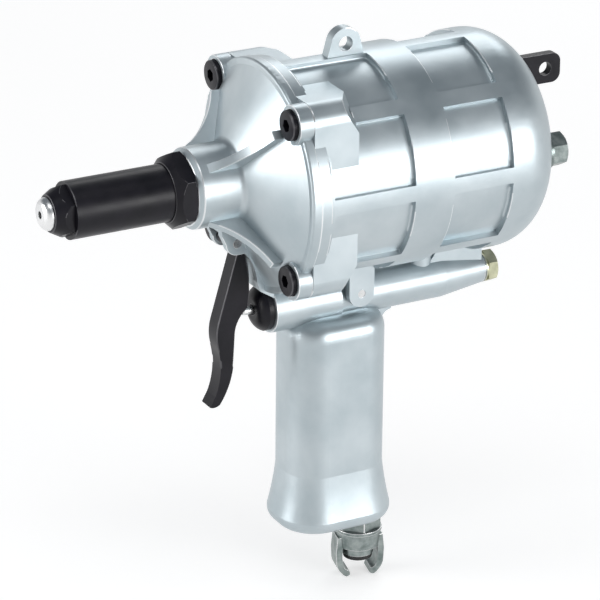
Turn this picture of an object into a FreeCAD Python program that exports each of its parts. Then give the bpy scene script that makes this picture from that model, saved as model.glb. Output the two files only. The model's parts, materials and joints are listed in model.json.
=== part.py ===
import FreeCAD, Part
import math
import os
import types

import Sketcher

# Pneumatic riveter. The origin is the middle of the nozzle's mouth. +X runs rearwards along the tool's
# axis, +Z is up and -Y is the near side. Lengths are millimetres and angles are degrees.

# Every driving dimension, once. The sheet below takes them over, and every piece reads the sheet.
DIMENSIONS = {
    # clearances
    "thread_gap": 0.05,
    "press_gap": 0.02,
    "slide_gap": 0.05,
    "seat_gap": 0.10,
    "free_gap": 0.40,
    "rest_gap": 0.30,
    # nozzle
    "nozzle_hole_radius": 1.6,
    "nozzle_radius": 7.0,
    "nozzle_face_radius": 4.2,
    "nozzle_proud": 3.5,
    "nozzle_round": 3.3,
    "nozzle_thread_radius": 5.95,
    "nozzle_thread_length": 10.0,
    "nozzle_tip_radius": 2.6,
    "nozzle_tip_length": 7.0,
    # nose sleeve and its lock nut
    "sleeve_radius": 12.3,
    "sleeve_face_radius": 8.0,
    "sleeve_cone_length": 7.6,
    "sleeve_flats": 20.0,
    "sleeve_flats_length": 8.0,
    "sleeve_bore_radius": 9.2,
    "sleeve_length": 75.0,
    "nut_start": 55.8,
    "nut_length": 9.0,
    "nut_flats": 29.8,
    "nut_face_radius": 12.9,
    "nut_chamfer_length": 4.4,
    # front housing
    "neck_radius": 17.5,
    "neck_length": 20.2,
    "cone_length": 14.5,
    "cone_edge_step": 0.6,
    "cone_wall": 5.6,
    "neck_fillet": 3.0,
    "neck_chamfer": 2.0,
    "flange_rise": 2.5,
    "flange_thickness": 4.5,
    "flange_round": 1.2,
    "spigot_length": 4.0,
    "spigot_wall": 4.0,
    "bush_radius": 10.0,
    "bush_length": 13.5,
    "rod_seal_length": 3.5,
    "bush_boss_radius": 15.0,
    "bush_boss_length": 18.5,
    # the four screws and their lugs
    "bolt_circle_rise": 0.65,
    "lug_radius": 8.5,
    "lug_length": 6.5,
    "screw_radius": 4.0,
    "screw_hole_radius": 4.4,
    "screw_length": 23.5,
    "screw_head_radius": 6.5,
    "screw_head_length": 5.0,
    "screw_head_sunk": 2.6,
    "screw_socket_flats": 5.0,
    "screw_socket_depth": 3.2,
    # gusset ribs
    "rib_thickness": 4.0,
    "rib_start": 70.6,
    "rib_crest_reach": 21.2,
    "rib_crest_inset": 7.85,
    "rib_foot_overlap": 1.2,
    "rib_crest_curve": 43.0,
    # trigger bracket and trigger
    "pivot_place": 86.5,
    "pivot_drop": 25.5,
    "pivot_pin_radius": 2.0,
    "ear_radius": 5.2,
    "bracket_width": 16.0,
    "bracket_front": 79.0,
    "bracket_notch_radius": 22.0,
    "trigger_length": 75.0,
    "trigger_width": 8.0,
    "trigger_eye_radius": 3.8,
    # barrel
    "barrel_radius": 48.0,
    "barrel_wall": 6.0,
    "barrel_flange_step": 0.5,
    "barrel_flange_bevel": 1.0,
    "barrel_flange_length": 5.0,
    "barrel_length": 120.0,
    "barrel_end_radius": 20.5,
    "barrel_end_wall": 10.0,
    "rear_bore_step": 1.0,
    "bore_end_corner": 1.5,
    "panel_depth": 2.5,
    "panel_angle": 36.6,
    "front_panel_start": 111.0,
    "front_panel_length": 38.3,
    "rear_panel_start": 168.0,
    "rear_panel_length": 28.5,
    "boss_length": 20.6,
    "boss_slope_length": 5.6,
    "boss_slope_rise": 3.0,
    "boss_web": 14.5,
    "screw_hole_depth": 22.0,
    # hanging lug on the barrel
    "top_lug_place": 140.0,
    "top_lug_rise": 5.0,
    "top_lug_radius": 7.0,
    "top_lug_hole_radius": 3.25,
    "top_lug_thickness": 5.0,
    "top_lug_base": 19.0,
    # ears beside the arm, and their pin
    "side_ear_place": 143.5,
    "side_ear_above_arm": 4.6,
    "side_ear_radius": 6.0,
    "side_ear_thickness": 3.5,
    "side_ear_gap": 20.0,
    "handle_pin_radius": 1.75,
    # bulkhead between the two cylinders
    "bulkhead_start": 152.0,
    "bulkhead_length": 10.0,
    "ring_thickness": 1.6,
    "ring_depth": 1.2,
    "ring_width": 4.5,
    # piston rod and pistons
    "rod_radius": 7.0,
    "rod_nose_radius": 6.0,
    "rod_nose_start": 44.0,
    "rod_nose_length": 8.0,
    "rod_collar_radius": 9.0,
    "rod_collar_length": 3.0,
    "rod_tail_radius": 5.0,
    "front_piston_start": 113.0,
    "piston_length": 12.0,
    "piston_web": 5.0,
    "piston_rim": 4.5,
    "piston_hub_radius": 13.0,
    "seal_width": 3.5,
    "seal_depth": 3.0,
    "clip_thickness": 1.5,
    "clip_depth": 0.8,
    "clip_radius": 9.5,
    "rod_nut_flats": 17.0,
    "rod_nut_length": 6.5,
    "stroke": 16.0,
    "piston_end_gap": 2.0,
    # jaws
    "jaw_housing_start": 20.0,
    "jaw_housing_radius": 8.8,
    "jaw_chamber_radius": 7.4,
    "jaw_mouth_radius": 5.2,
    "jaw_cone_length": 13.0,
    "jaw_hole_radius": 2.0,
    "jaw_angle": 96.0,
    "pusher_length": 3.8,
    "pusher_radius": 6.5,
    # springs
    "return_spring_radius": 17.0,
    "return_spring_wire": 1.5,
    "return_spring_turns": 4.0,
    "jaw_spring_radius": 4.9,
    "jaw_spring_wire": 0.7,
    "jaw_spring_turns": 3.0,
    "valve_spring_radius": 2.9,
    "valve_spring_wire": 0.5,
    "valve_spring_turns": 4.0,
    # handle
    "grip_place": 135.8,
    "grip_depth": 46.0,
    "grip_width": 34.0,
    "grip_corner": 14.0,
    "grip_below_arm": 4.4,
    "grip_shoulder_round": 10.0,
    "grip_straight_end": 139.0,
    "grip_flare_end": 159.5,
    "grip_flare": 3.6,
    "grip_bottom": 165.5,
    "grip_bottom_round": 5.0,
    "grip_web_round": 4.5,
    "grip_web_width": 8.0,
    "valve_boss_radius": 11.3,
    "cap_gap": 0.2,
    "arm_below_valve": 1.0,
    "arm_radius": 9.5,
    "arm_end_radius": 6.8,
    "arm_taper_start": 188.0,
    "arm_end": 209.0,
    "arm_gap": 0.3,
    "saddle_length": 20.0,
    "saddle_width": 9.0,
    "port_boss_radius": 5.6,
    "front_port_place": 110.5,
    "rear_port_place": 179.0,
    "port_radius": 3.0,
    "port_hole_radius": 1.8,
    "gallery_below_arm": 1.6,
    "gallery_radius": 3.0,
    "tube_reach": 0.5,
    "tube_groove_depth": 0.8,
    "tube_groove_reach": 1.0,
    # valve
    "valve_bore_radius": 7.5,
    "valve_bore_end": 136.0,
    "valve_cap_radius": 9.9,
    "valve_cap_length": 6.4,
    "valve_cap_thread": 3.0,
    "valve_cap_edge": 2.6,
    "valve_cap_dome": 6.5,
    "valve_cap_face": 4.5,
    "valve_stem_radius": 1.8,
    "valve_stem_start": 92.0,
    "valve_spool_radius": 3.9,
    "valve_spool_start": 112.0,
    "valve_spool_length": 14.0,
    "valve_spool_tail": 3.0,
    "valve_seal_width": 2.2,
    "valve_seal_depth": 2.4,
    "valve_seal_inset": 4.5,
    "stem_seal_width": 1.8,
    "stem_seal_depth": 1.3,
    "stem_seal_inset": 1.6,
    "valve_inlet_inset": 10.0,
    # arm plug
    "arm_plug_flats": 13.0,
    "arm_plug_head": 6.0,
    "arm_plug_thread_radius": 4.5,
    "arm_plug_thread": 9.0,
    "arm_washer_length": 1.0,
    # air inlet
    "inlet_place": 151.0,
    "inlet_flats": 18.0,
    "inlet_hex_length": 8.5,
    "inlet_thread_radius": 6.5,
    "inlet_thread": 11.0,
    "inlet_bore_radius": 4.5,
    "inlet_channel_radius": 4.0,
    "filter_length": 1.5,
    "claw_body_radius": 10.6,
    "claw_body_length": 9.0,
    "claw_rim_length": 1.6,
    "claw_tip_drop": 23.2,
    "claw_thickness": 9.0,
    "claw_turn": -13.0,
    "spigot_radius": 7.0,
    "spigot_drop": 15.0,
    "inlet_seal_length": 2.0,
    # rear hanger, its screw and the breather plug
    "hanger_thickness": 4.0,
    "hanger_inset": 1.3,
    "hanger_corner": 4.2,
    "hanger_width": 13.4,
    "hanger_reach": 22.4,
    "hanger_hole_place": 14.8,
    "hanger_hole_radius": 3.0,
    "hanger_foot": 18.0,
    "hanger_screw_side": 10.0,
    "hanger_screw_radius": 3.0,
    "hanger_screw_length": 12.0,
    "hanger_screw_head_radius": 5.2,
    "hanger_screw_head_length": 3.2,
    "plug_inset": 2.5,
    "plug_drop": 1.6,
    "plug_flats": 13.5,
    "plug_head": 7.8,
    "plug_collar_radius": 8.0,
    "plug_collar": 2.0,
    "plug_thread_radius": 5.0,
    "plug_thread": 8.0,
    "plug_bore_radius": 3.0,
    "breather_length": 3.0,
}

# Sizes that follow from those above, worked out by the sheet.
RELATED = {
    "flange_radius": "barrel_radius + flange_rise",
    "barrel_flange_radius": "flange_radius - barrel_flange_step",
    "cone_edge_radius": "barrel_radius - cone_edge_step",
    "barrel_bore_radius": "barrel_radius - barrel_wall",
    "rear_bore_radius": "barrel_bore_radius - rear_bore_step",
    "bolt_offset": "(barrel_radius + bolt_circle_rise) * cos(45)",
    "rib_crest_radius": "barrel_radius + bolt_circle_rise - rib_crest_inset",
    "boss_slope_radius": "barrel_radius + boss_slope_rise",
    "top_lug_height": "barrel_radius + top_lug_rise",
    "hanger_height": "barrel_radius - barrel_end_radius - hanger_inset",
    "plug_side": "barrel_radius - barrel_end_radius - plug_inset",
    "valve_drop": "flange_radius + valve_cap_radius + cap_gap",
    "arm_drop": "valve_drop + arm_below_valve",
    "gallery_drop": "arm_drop + gallery_below_arm",
    "side_ear_drop": "arm_drop - side_ear_above_arm",
    "grip_top": "arm_drop + grip_below_arm",
}


class Size:
    """A length or an angle: its value, and the sheet expression that gives it."""

    def __init__(self, value, text):
        self.value = value
        self.text = text

    def __add__(self, other):
        return Size(self.value + number(other), "(%s + %s)" % (self.text, words(other)))

    def __radd__(self, other):
        return Size(number(other) + self.value, "(%s + %s)" % (words(other), self.text))

    def __sub__(self, other):
        return Size(self.value - number(other), "(%s - %s)" % (self.text, words(other)))

    def __rsub__(self, other):
        return Size(number(other) - self.value, "(%s - %s)" % (words(other), self.text))

    def __mul__(self, other):
        return Size(self.value * number(other), "(%s * %s)" % (self.text, words(other)))

    def __rmul__(self, other):
        return Size(number(other) * self.value, "(%s * %s)" % (words(other), self.text))

    def __truediv__(self, other):
        return Size(self.value / number(other), "(%s / %s)" % (self.text, words(other)))

    def __neg__(self):
        return Size(-self.value, "(-%s)" % self.text)


def number(value):
    return value.value if isinstance(value, Size) else value


def words(value):
    return value.text if isinstance(value, Size) else repr(value)


doc = FreeCAD.newDocument("pneumatic_riveter")
sheet = doc.addObject("Spreadsheet::Sheet", "Sizes")
cells = {name: str(value) for name, value in DIMENSIONS.items()}
cells.update({name: "=" + formula for name, formula in RELATED.items()})
for row, (name, cell) in enumerate(cells.items(), start=1):
    sheet.set("A%d" % row, name)
    sheet.setAlias("B%d" % row, name)
    sheet.set("B%d" % row, cell)
doc.recompute()
S = types.SimpleNamespace(**{name: Size(sheet.get(name), "Sizes." + name) for name in cells})

# Places along the axis that several pieces share.
SLEEVE_FRONT = S.nozzle_proud
SLEEVE_BACK = SLEEVE_FRONT + S.sleeve_length
NECK_FRONT = S.nut_start + S.nut_length
CONE_START = NECK_FRONT + S.neck_length
FLANGE_FRONT = CONE_START + S.cone_length
JOINT = FLANGE_FRONT + S.flange_thickness
BARREL_BACK = JOINT + S.barrel_length
BORE_END = BARREL_BACK - S.barrel_end_wall
BULKHEAD_BACK = S.bulkhead_start + S.bulkhead_length
LUG_FRONT = JOINT - S.lug_length
SCREW_SEAT = LUG_FRONT + S.screw_head_sunk
PANEL_FLOOR = S.barrel_radius - S.panel_depth
ROD_SHOULDER = S.rod_nose_start + S.rod_nose_length
JAW_CONE_END = S.jaw_housing_start + S.jaw_cone_length
GRIP_BACK = S.grip_place + S.grip_depth / 2
REAR_PISTON_START = BORE_END - S.piston_end_gap - S.stroke - S.piston_length
ARM_CLEAR = S.barrel_radius + S.arm_gap
FLANGE_CLEAR = S.flange_radius + S.arm_gap
COS_30 = math.cos(math.radians(30))
SIN_45 = math.sin(math.radians(45))

parts = []


def vector(x, y):
    return FreeCAD.Vector(number(x), number(y), 0)


def bind(item, name, value):
    """Give a property its size, tied to the sheet where it comes from there."""
    if isinstance(value, Size):
        item.setExpression(name, value.text)
    else:
        item.setExpression(name, repr(float(value)))


def new_body(label, place=None):
    body = doc.addObject("PartDesign::Body", label)
    body.Label = label
    if place is not None:
        for axis, value in zip("xyz", place):
            bind(body, "Placement.Base." + axis, value)
    return body


def new_sketch(body, name, role, lift=0, turn=0, tilt=0):
    """A sketch on one of the body's own planes, lifted, turned or tilted about its first axis."""
    sketch = body.newObject("Sketcher::SketchObject", body.Label + "_" + name)
    plane = [item for item in body.Origin.OriginFeatures if item.Role == role][0]
    sketch.AttachmentSupport = [(plane, "")]
    sketch.MapMode = "FlatFace"
    turned = FreeCAD.Rotation(FreeCAD.Vector(0, 0, 1), turn)
    tilted = FreeCAD.Rotation(FreeCAD.Vector(1, 0, 0), tilt)
    sketch.AttachmentOffset = FreeCAD.Placement(FreeCAD.Vector(0, 0, number(lift)), turned * tilted)
    if isinstance(lift, Size):
        sketch.setExpression("AttachmentOffset.Base.z", lift.text)
    return sketch


def hold(sketch, element, end, x, y):
    """Hold one point of a sketch at its place."""
    for kind, axis, value in (("DistanceX", -2, x), ("DistanceY", -1, y)):
        if not isinstance(value, Size) and value == 0:
            sketch.addConstraint(Sketcher.Constraint("PointOnObject", element, end, axis))
            continue
        index = sketch.addConstraint(Sketcher.Constraint(kind, -1, 1, element, end, number(value)))
        if isinstance(value, Size):
            sketch.setExpression("Constraints[%d]" % index, value.text)


def measure(sketch, kind, element, value):
    index = sketch.addConstraint(Sketcher.Constraint(kind, element, number(value)))
    if isinstance(value, Size):
        sketch.setExpression("Constraints[%d]" % index, value.text)


def arc_between(start, end, radius):
    """The short arc from start to end. A positive radius runs anticlockwise, a negative one clockwise."""
    chord = end - start
    half = chord.Length / 2
    rise = math.sqrt(max(radius * radius - half * half, 0))
    across = FreeCAD.Vector(-chord.y, chord.x, 0).normalize()
    side = 1 if radius > 0 else -1
    centre = (start + end) / 2 + across * rise * side
    circle = Part.Circle(centre, FreeCAD.Vector(0, 0, 1), abs(radius))
    first, last = (start, end) if side > 0 else (end, start)
    return Part.ArcOfCircle(circle, circle.parameter(first), circle.parameter(last))


def outline(sketch, corners):
    """A closed outline. A corner is (x, y), or (x, y, radius) where an arc leads to the next corner."""
    base = sketch.GeometryCount
    count = len(corners)
    ends = []
    for index, corner in enumerate(corners):
        following = corners[(index + 1) % count]
        start, end = vector(*corner[:2]), vector(*following[:2])
        if len(corner) == 3:
            sketch.addGeometry(arc_between(start, end, number(corner[2])), False)
            ends.append((1, 2) if number(corner[2]) > 0 else (2, 1))
        else:
            sketch.addGeometry(Part.LineSegment(start, end), False)
            ends.append((1, 2))
    for index, corner in enumerate(corners):
        after = (index + 1) % count
        link = Sketcher.Constraint("Coincident", base + index, ends[index][1], base + after, ends[after][0])
        sketch.addConstraint(link)
    for index, corner in enumerate(corners):
        hold(sketch, base + index, ends[index][0], corner[0], corner[1])
        if len(corner) == 3:
            measure(sketch, "Radius", base + index, corner[2] if number(corner[2]) > 0 else -corner[2])


def ring(sketch, x, y, radius):
    element = sketch.addGeometry(Part.Circle(vector(x, y), FreeCAD.Vector(0, 0, 1), number(radius)), False)
    hold(sketch, element, 3, x, y)
    measure(sketch, "Radius", element, radius)


def hexagon(sketch, flats, x=0, y=0, turn=30):
    """A hexagon across its flats. At a turn of 30 a corner points up."""
    corner = flats / (2 * COS_30)
    corners = []
    for step in range(6):
        angle = math.radians(turn + 60 * step)
        across = 0 if abs(math.cos(angle)) < 1e-9 else corner * math.cos(angle)
        along = 0 if abs(math.sin(angle)) < 1e-9 else corner * math.sin(angle)
        corners.append((x + across if across else x, y + along if along else y))
    outline(sketch, corners)


def rounded_box(sketch, x, y, depth, width, corner):
    """A rectangle with round corners, centred on x, y."""
    left, right = x - depth / 2, x + depth / 2
    low, high = y - width / 2, y + width / 2
    outline(sketch, [
        (left + corner, low), (right - corner, low, corner), (right, low + corner),
        (right, high - corner, corner),
        (right - corner, high), (left + corner, high, corner), (left, high - corner),
        (left, low + corner, corner),
    ])


def axis_line(sketch, x, y, length):
    """A construction line along the sketch's first axis, for turning a profile about."""
    element = sketch.addGeometry(Part.LineSegment(vector(x, y), vector(x + length, y)), True)
    hold(sketch, element, 1, x, y)
    hold(sketch, element, 2, x + length, y)


def finish_feature(body, feature, cuts=False):
    before = body.Shape.Volume if cuts else 0
    doc.recompute()
    if cuts and body.Shape.Volume > before - 1e-3:
        raise RuntimeError(feature.Name + " cuts nothing")
    return feature


def pad(body, sketch, length, symmetric=False, back=False):
    feature = body.newObject("PartDesign::Pad", sketch.Name + "_pad")
    feature.Profile = sketch
    bind(feature, "Length", length)
    feature.SideType = "Symmetric" if symmetric else "One side"
    feature.Reversed = back
    return finish_feature(body, feature)


def pocket(body, sketch, length, symmetric=False, forward=True):
    """Cut along the sketch's normal, or against it."""
    feature = body.newObject("PartDesign::Pocket", sketch.Name + "_pocket")
    feature.Profile = sketch
    bind(feature, "Length", length)
    feature.SideType = "Symmetric" if symmetric else "One side"
    feature.Reversed = forward
    return finish_feature(body, feature, cuts=True)


def revolve(body, sketch, axis="H_Axis", angle=360, symmetric=False):
    feature = body.newObject("PartDesign::Revolution", sketch.Name + "_turned")
    feature.Profile = sketch
    feature.ReferenceAxis = (sketch, [axis])
    bind(feature, "Angle", angle)
    feature.Midplane = symmetric
    return finish_feature(body, feature)


def groove(body, sketch, axis="H_Axis", angle=360, symmetric=False):
    feature = body.newObject("PartDesign::Groove", sketch.Name + "_groove")
    feature.Profile = sketch
    feature.ReferenceAxis = (sketch, [axis])
    bind(feature, "Angle", angle)
    feature.Midplane = symmetric
    return finish_feature(body, feature, cuts=True)


def around(body, features, count):
    """Repeat features evenly round the tool's axis."""
    feature = body.newObject("PartDesign::PolarPattern", features[0].Name + "_around")
    feature.Originals = features
    axis = [item for item in body.Origin.OriginFeatures if item.Role == "X_Axis"][0]
    feature.Axis = (axis, [""])
    feature.Angle = 360
    feature.Occurrences = count
    body.Tip = feature
    return finish_feature(body, feature)


def mirror(body, features, role):
    feature = body.newObject("PartDesign::Mirrored", features[0].Name + "_mirrored")
    feature.Originals = features
    plane = [item for item in body.Origin.OriginFeatures if item.Role == role][0]
    feature.MirrorPlane = (plane, [""])
    body.Tip = feature
    return finish_feature(body, feature)


def round_edges(body, radius, chosen, kind="Fillet"):
    """Round, or chamfer, the edges of the body that the test picks."""
    base = body.Tip
    names = ["Edge%d" % (index + 1) for index, edge in enumerate(base.Shape.Edges) if chosen(edge)]
    if not names:
        raise RuntimeError(body.Label + " has no such edge")
    feature = body.newObject("PartDesign::" + kind, "%s_%s_%d" % (body.Label, kind.lower(), len(body.Group)))
    feature.Base = (base, names)
    bind(feature, "Radius" if kind == "Fillet" else "Size", radius)
    return finish_feature(body, feature)


def round_at(x, radius, tolerance=0.02):
    """A test for a whole circle about the tool's axis, at its place and radius."""
    def chosen(edge):
        curve = edge.Curve
        if not isinstance(curve, Part.Circle) or abs(abs(curve.Axis.x) - 1) > 1e-6:
            return False
        middle = abs(curve.Center.y) + abs(curve.Center.z)
        return middle < tolerance and abs(curve.Center.x - number(x)) < tolerance and \
            abs(curve.Radius - number(radius)) < tolerance
    return chosen


def keep(item):
    parts.append(item)
    return item


def turned(label, corners, place=None):
    """A piece turned about its own X axis from half an outline."""
    body = new_body(label, place)
    sketch = new_sketch(body, "section", "XZ_Plane")
    outline(sketch, corners)
    revolve(body, sketch)
    return body


def tube(label, start, length, inner, outer, place=None):
    """A plain ring or tube along X."""
    end = start + length
    return turned(label, [(start, inner), (end, inner), (end, outer), (start, outer)], place)


def solid_bar(label, start, length, radius, place=None):
    end = start + length
    return turned(label, [(start, 0), (end, 0), (end, radius), (start, radius)], place)


def group(label, bodies):
    """Several separate solids in one node."""
    compound = doc.addObject("Part::Compound", label)
    compound.Label = label
    compound.Links = bodies
    return compound


def coil(label, start, length, radius, wire, turns, place=None):
    """A compression spring along X: a wire swept along a helix."""
    body = new_body(label, place)
    sketch = new_sketch(body, "wire", "XZ_Plane")
    ring(sketch, start + wire, radius, wire)
    feature = body.newObject("PartDesign::AdditiveHelix", label + "_helix")
    feature.Profile = sketch
    feature.ReferenceAxis = (sketch, ["H_Axis"])
    feature.Mode = "height-turns-growth"
    bind(feature, "Height", length - 2 * wire)
    bind(feature, "Turns", turns)
    finish_feature(body, feature)
    return body


# Nose

def make_nozzle():
    """The hardened nozzle: a rounded face, the mandrel hole, a thread and the cone that opens the jaws."""
    back = SLEEVE_FRONT + S.nozzle_thread_length
    tip = back + S.nozzle_tip_length
    round_back = S.nozzle_round - 0.3
    keep(turned("nozzle", [
        (0, S.nozzle_hole_radius), (tip, S.nozzle_hole_radius), (tip, S.nozzle_tip_radius),
        (back, S.nozzle_thread_radius), (SLEEVE_FRONT, S.nozzle_thread_radius),
        (SLEEVE_FRONT, S.nozzle_radius),
        (round_back, S.nozzle_radius, S.nozzle_round), (0, S.nozzle_face_radius),
    ]))


def make_nose_sleeve():
    """The long black sleeve: coned and hexagonal at its front, threaded into the neck at its back."""
    bore_front = S.nozzle_thread_radius + S.thread_gap
    thread_end = SLEEVE_FRONT + S.nozzle_thread_length
    taper_end = thread_end + (S.sleeve_bore_radius - bore_front)
    body = turned("nose_sleeve", [
        (SLEEVE_FRONT, bore_front), (thread_end, bore_front), (taper_end, S.sleeve_bore_radius),
        (SLEEVE_BACK, S.sleeve_bore_radius), (SLEEVE_BACK, S.sleeve_radius),
        (SLEEVE_FRONT + S.sleeve_cone_length, S.sleeve_radius), (SLEEVE_FRONT, S.sleeve_face_radius),
    ])
    flats = new_sketch(body, "flats", "YZ_Plane", lift=SLEEVE_FRONT)
    hexagon(flats, S.sleeve_flats)
    ring(flats, 0, 0, S.sleeve_radius + 1)
    pocket(body, flats, S.sleeve_flats_length)
    keep(body)


def make_lock_nut():
    """The hexagonal nut that locks the sleeve against the neck, with a long chamfer on its front."""
    body = new_body("sleeve_lock_nut")
    face = new_sketch(body, "face", "YZ_Plane", lift=S.nut_start)
    hexagon(face, S.nut_flats)
    ring(face, 0, 0, S.sleeve_radius + S.thread_gap)
    pad(body, face, S.nut_length)
    corner = S.nut_flats / (2 * COS_30)
    front = new_sketch(body, "chamfer", "XZ_Plane")
    outline(front, [
        (S.nut_start, S.nut_face_radius), (S.nut_start + S.nut_chamfer_length, corner),
        (S.nut_start + S.nut_chamfer_length, corner + 1), (S.nut_start, corner + 1),
    ])
    groove(body, front)
    back = new_sketch(body, "back_chamfer", "XZ_Plane")
    outline(back, [
        (NECK_FRONT - 1.2, corner), (NECK_FRONT, corner - 1.6), (NECK_FRONT, corner + 1),
        (NECK_FRONT - 1.2, corner + 1),
    ])
    groove(body, back)
    keep(body)


# Front housing

def cone_depth(radius):
    """How far behind the foot of the cone its outer face reaches a radius."""
    return (radius - S.neck_radius) * (S.cone_length / (S.cone_edge_radius - S.neck_radius))


def make_front_housing():
    """The cast front cover: neck, cone, rim, four screw lugs with gusset ribs, and trigger bracket."""
    body = new_body("front_housing")
    bore = S.sleeve_radius + S.thread_gap
    bush = S.bush_radius + S.press_gap
    boss_back = SLEEVE_BACK + S.bush_boss_length
    spigot = S.barrel_bore_radius - S.slide_gap
    hollow = spigot - S.spigot_wall
    section = new_sketch(body, "section", "XZ_Plane")
    outline(section, [
        (NECK_FRONT, bore), (SLEEVE_BACK, bore), (SLEEVE_BACK, bush), (boss_back, bush),
        (boss_back, S.bush_boss_radius),
        (CONE_START + S.cone_wall + cone_depth(S.bush_boss_radius), S.bush_boss_radius),
        (CONE_START + S.cone_wall + cone_depth(hollow), hollow), (JOINT + S.spigot_length, hollow),
        (JOINT + S.spigot_length, spigot), (JOINT, spigot), (JOINT, S.flange_radius),
        (FLANGE_FRONT, S.flange_radius), (FLANGE_FRONT, S.cone_edge_radius), (CONE_START, S.neck_radius),
        (NECK_FRONT + S.neck_chamfer, S.neck_radius), (NECK_FRONT, S.neck_radius - S.neck_chamfer),
    ])
    revolve(body, section)
    round_edges(body, S.neck_fillet, round_at(CONE_START, S.neck_radius))
    round_edges(body, S.flange_round, round_at(FLANGE_FRONT, S.flange_radius))
    add_lugs(body)
    add_ribs(body)
    add_trigger_bracket(body)
    keep(body)


def add_lugs(body):
    """Four round lugs on the rim, each bored for a screw and its sunk head."""
    lug = new_sketch(body, "lug", "YZ_Plane", lift=LUG_FRONT)
    ring(lug, S.bolt_offset, S.bolt_offset, S.lug_radius)
    lug_pad = pad(body, lug, S.lug_length)
    head = new_sketch(body, "head_seat", "YZ_Plane", lift=LUG_FRONT - 4)
    ring(head, S.bolt_offset, S.bolt_offset, S.screw_head_radius + S.seat_gap)
    head_seat = pocket(body, head, S.screw_head_sunk + 4)
    hole = new_sketch(body, "screw_hole", "YZ_Plane", lift=LUG_FRONT)
    ring(hole, S.bolt_offset, S.bolt_offset, S.screw_hole_radius)
    through = pocket(body, hole, S.lug_length + 1)
    around(body, [lug_pad, head_seat, through], 4)


def add_ribs(body):
    """A thin gusset from the neck to each lug, with a hollow crest."""
    inside = S.neck_radius - S.rib_foot_overlap
    rib = new_sketch(body, "rib", "XZ_Plane", tilt=45)
    crest = S.rib_start + S.rib_crest_reach
    outline(rib, [
        (S.rib_start, inside), (CONE_START + 1.5, inside),
        (CONE_START + 2.5 + cone_depth(S.rib_crest_radius), S.rib_crest_radius),
        (crest, S.rib_crest_radius, -S.rib_crest_curve), (S.rib_start, S.neck_radius),
    ])
    around(body, [pad(body, rib, S.rib_thickness, symmetric=True)], 4)


def add_trigger_bracket(body):
    """Two plates below the cone, with the slot that the trigger swings in and the hole for its pin."""
    left = S.pivot_place - S.ear_radius
    low = S.pivot_drop + S.ear_radius
    top = S.neck_radius - 4
    plates = new_sketch(body, "bracket", "XZ_Plane")
    outline(plates, [
        (S.bracket_front - 4, -top), (S.bracket_front, -(S.neck_radius - 1)),
        (S.bracket_front + 0.4, -(S.pivot_drop - 4)), (left, -S.pivot_drop, S.ear_radius),
        (S.pivot_place, -low),
        (S.pivot_place + 3.6, -low, -S.bracket_notch_radius), (FLANGE_FRONT - 3.6, -(low + 14)),
        (FLANGE_FRONT - 2, -(low + 18.6)), (JOINT, -(S.flange_radius + 3)),
        (JOINT, -(S.cone_edge_radius - 4)),
        (CONE_START + 2.5 + cone_depth(S.cone_edge_radius - 6), -(S.cone_edge_radius - 6)),
        (CONE_START + 2.5, -(S.neck_radius - 1.5)), (CONE_START - 2, -top),
    ])
    pad(body, plates, S.bracket_width, symmetric=True)
    slot = new_sketch(body, "trigger_slot", "XZ_Plane")
    roof = S.pivot_drop - S.trigger_eye_radius - 1.5
    floor = S.flange_radius + 9
    outline(slot, [
        (S.bracket_front - 9, -roof), (S.bracket_front - 9, -floor), (FLANGE_FRONT - 1.7, -floor),
        (FLANGE_FRONT - 2.7, -(roof + 17)), (CONE_START + 3.2, -roof),
    ])
    pocket(body, slot, S.trigger_width + 2 * S.free_gap, symmetric=True)
    pin = new_sketch(body, "pin_hole", "XZ_Plane")
    ring(pin, S.pivot_place, -S.pivot_drop, S.pivot_pin_radius + S.press_gap)
    pocket(body, pin, S.bracket_width + 2, symmetric=True)
    cap = new_sketch(body, "cap_room", "YZ_Plane", lift=JOINT - S.valve_cap_length - 2)
    ring(cap, 0, -S.valve_drop, S.valve_cap_radius + S.free_gap)
    pocket(body, cap, S.valve_cap_length + 3)


def make_rod_guides():
    """The bronze bush that carries the rod, and the lip seal behind it."""
    inner = S.rod_radius + S.slide_gap
    keep(tube("rod_bush", SLEEVE_BACK, S.bush_length, inner, S.bush_radius))
    keep(tube("rod_seal", SLEEVE_BACK + S.bush_length, S.rod_seal_length, inner, S.bush_radius))


def make_housing_screws():
    """Four socket screws that clamp the front housing to the barrel."""
    bodies = []
    places = [(side, height) for side in (-1, 1) for height in (-1, 1)]
    for index, (side, height) in enumerate(places):
        place = (SCREW_SEAT, S.bolt_offset * side, S.bolt_offset * height)
        head = S.screw_head_length
        body = turned("housing_screw_%d" % (index + 1), [
            (-head, 0), (S.screw_length, 0), (S.screw_length, S.screw_radius - 0.8),
            (S.screw_length - 0.8, S.screw_radius), (0, S.screw_radius), (0, S.screw_head_radius),
            (-(head - 0.7), S.screw_head_radius), (-head, S.screw_head_radius - 0.7),
        ], place)
        socket = new_sketch(body, "socket", "YZ_Plane", lift=-head)
        hexagon(socket, S.screw_socket_flats)
        pocket(body, socket, S.screw_socket_depth)
        bodies.append(body)
    keep(group("housing_screws", bodies))


# Barrel

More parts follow.
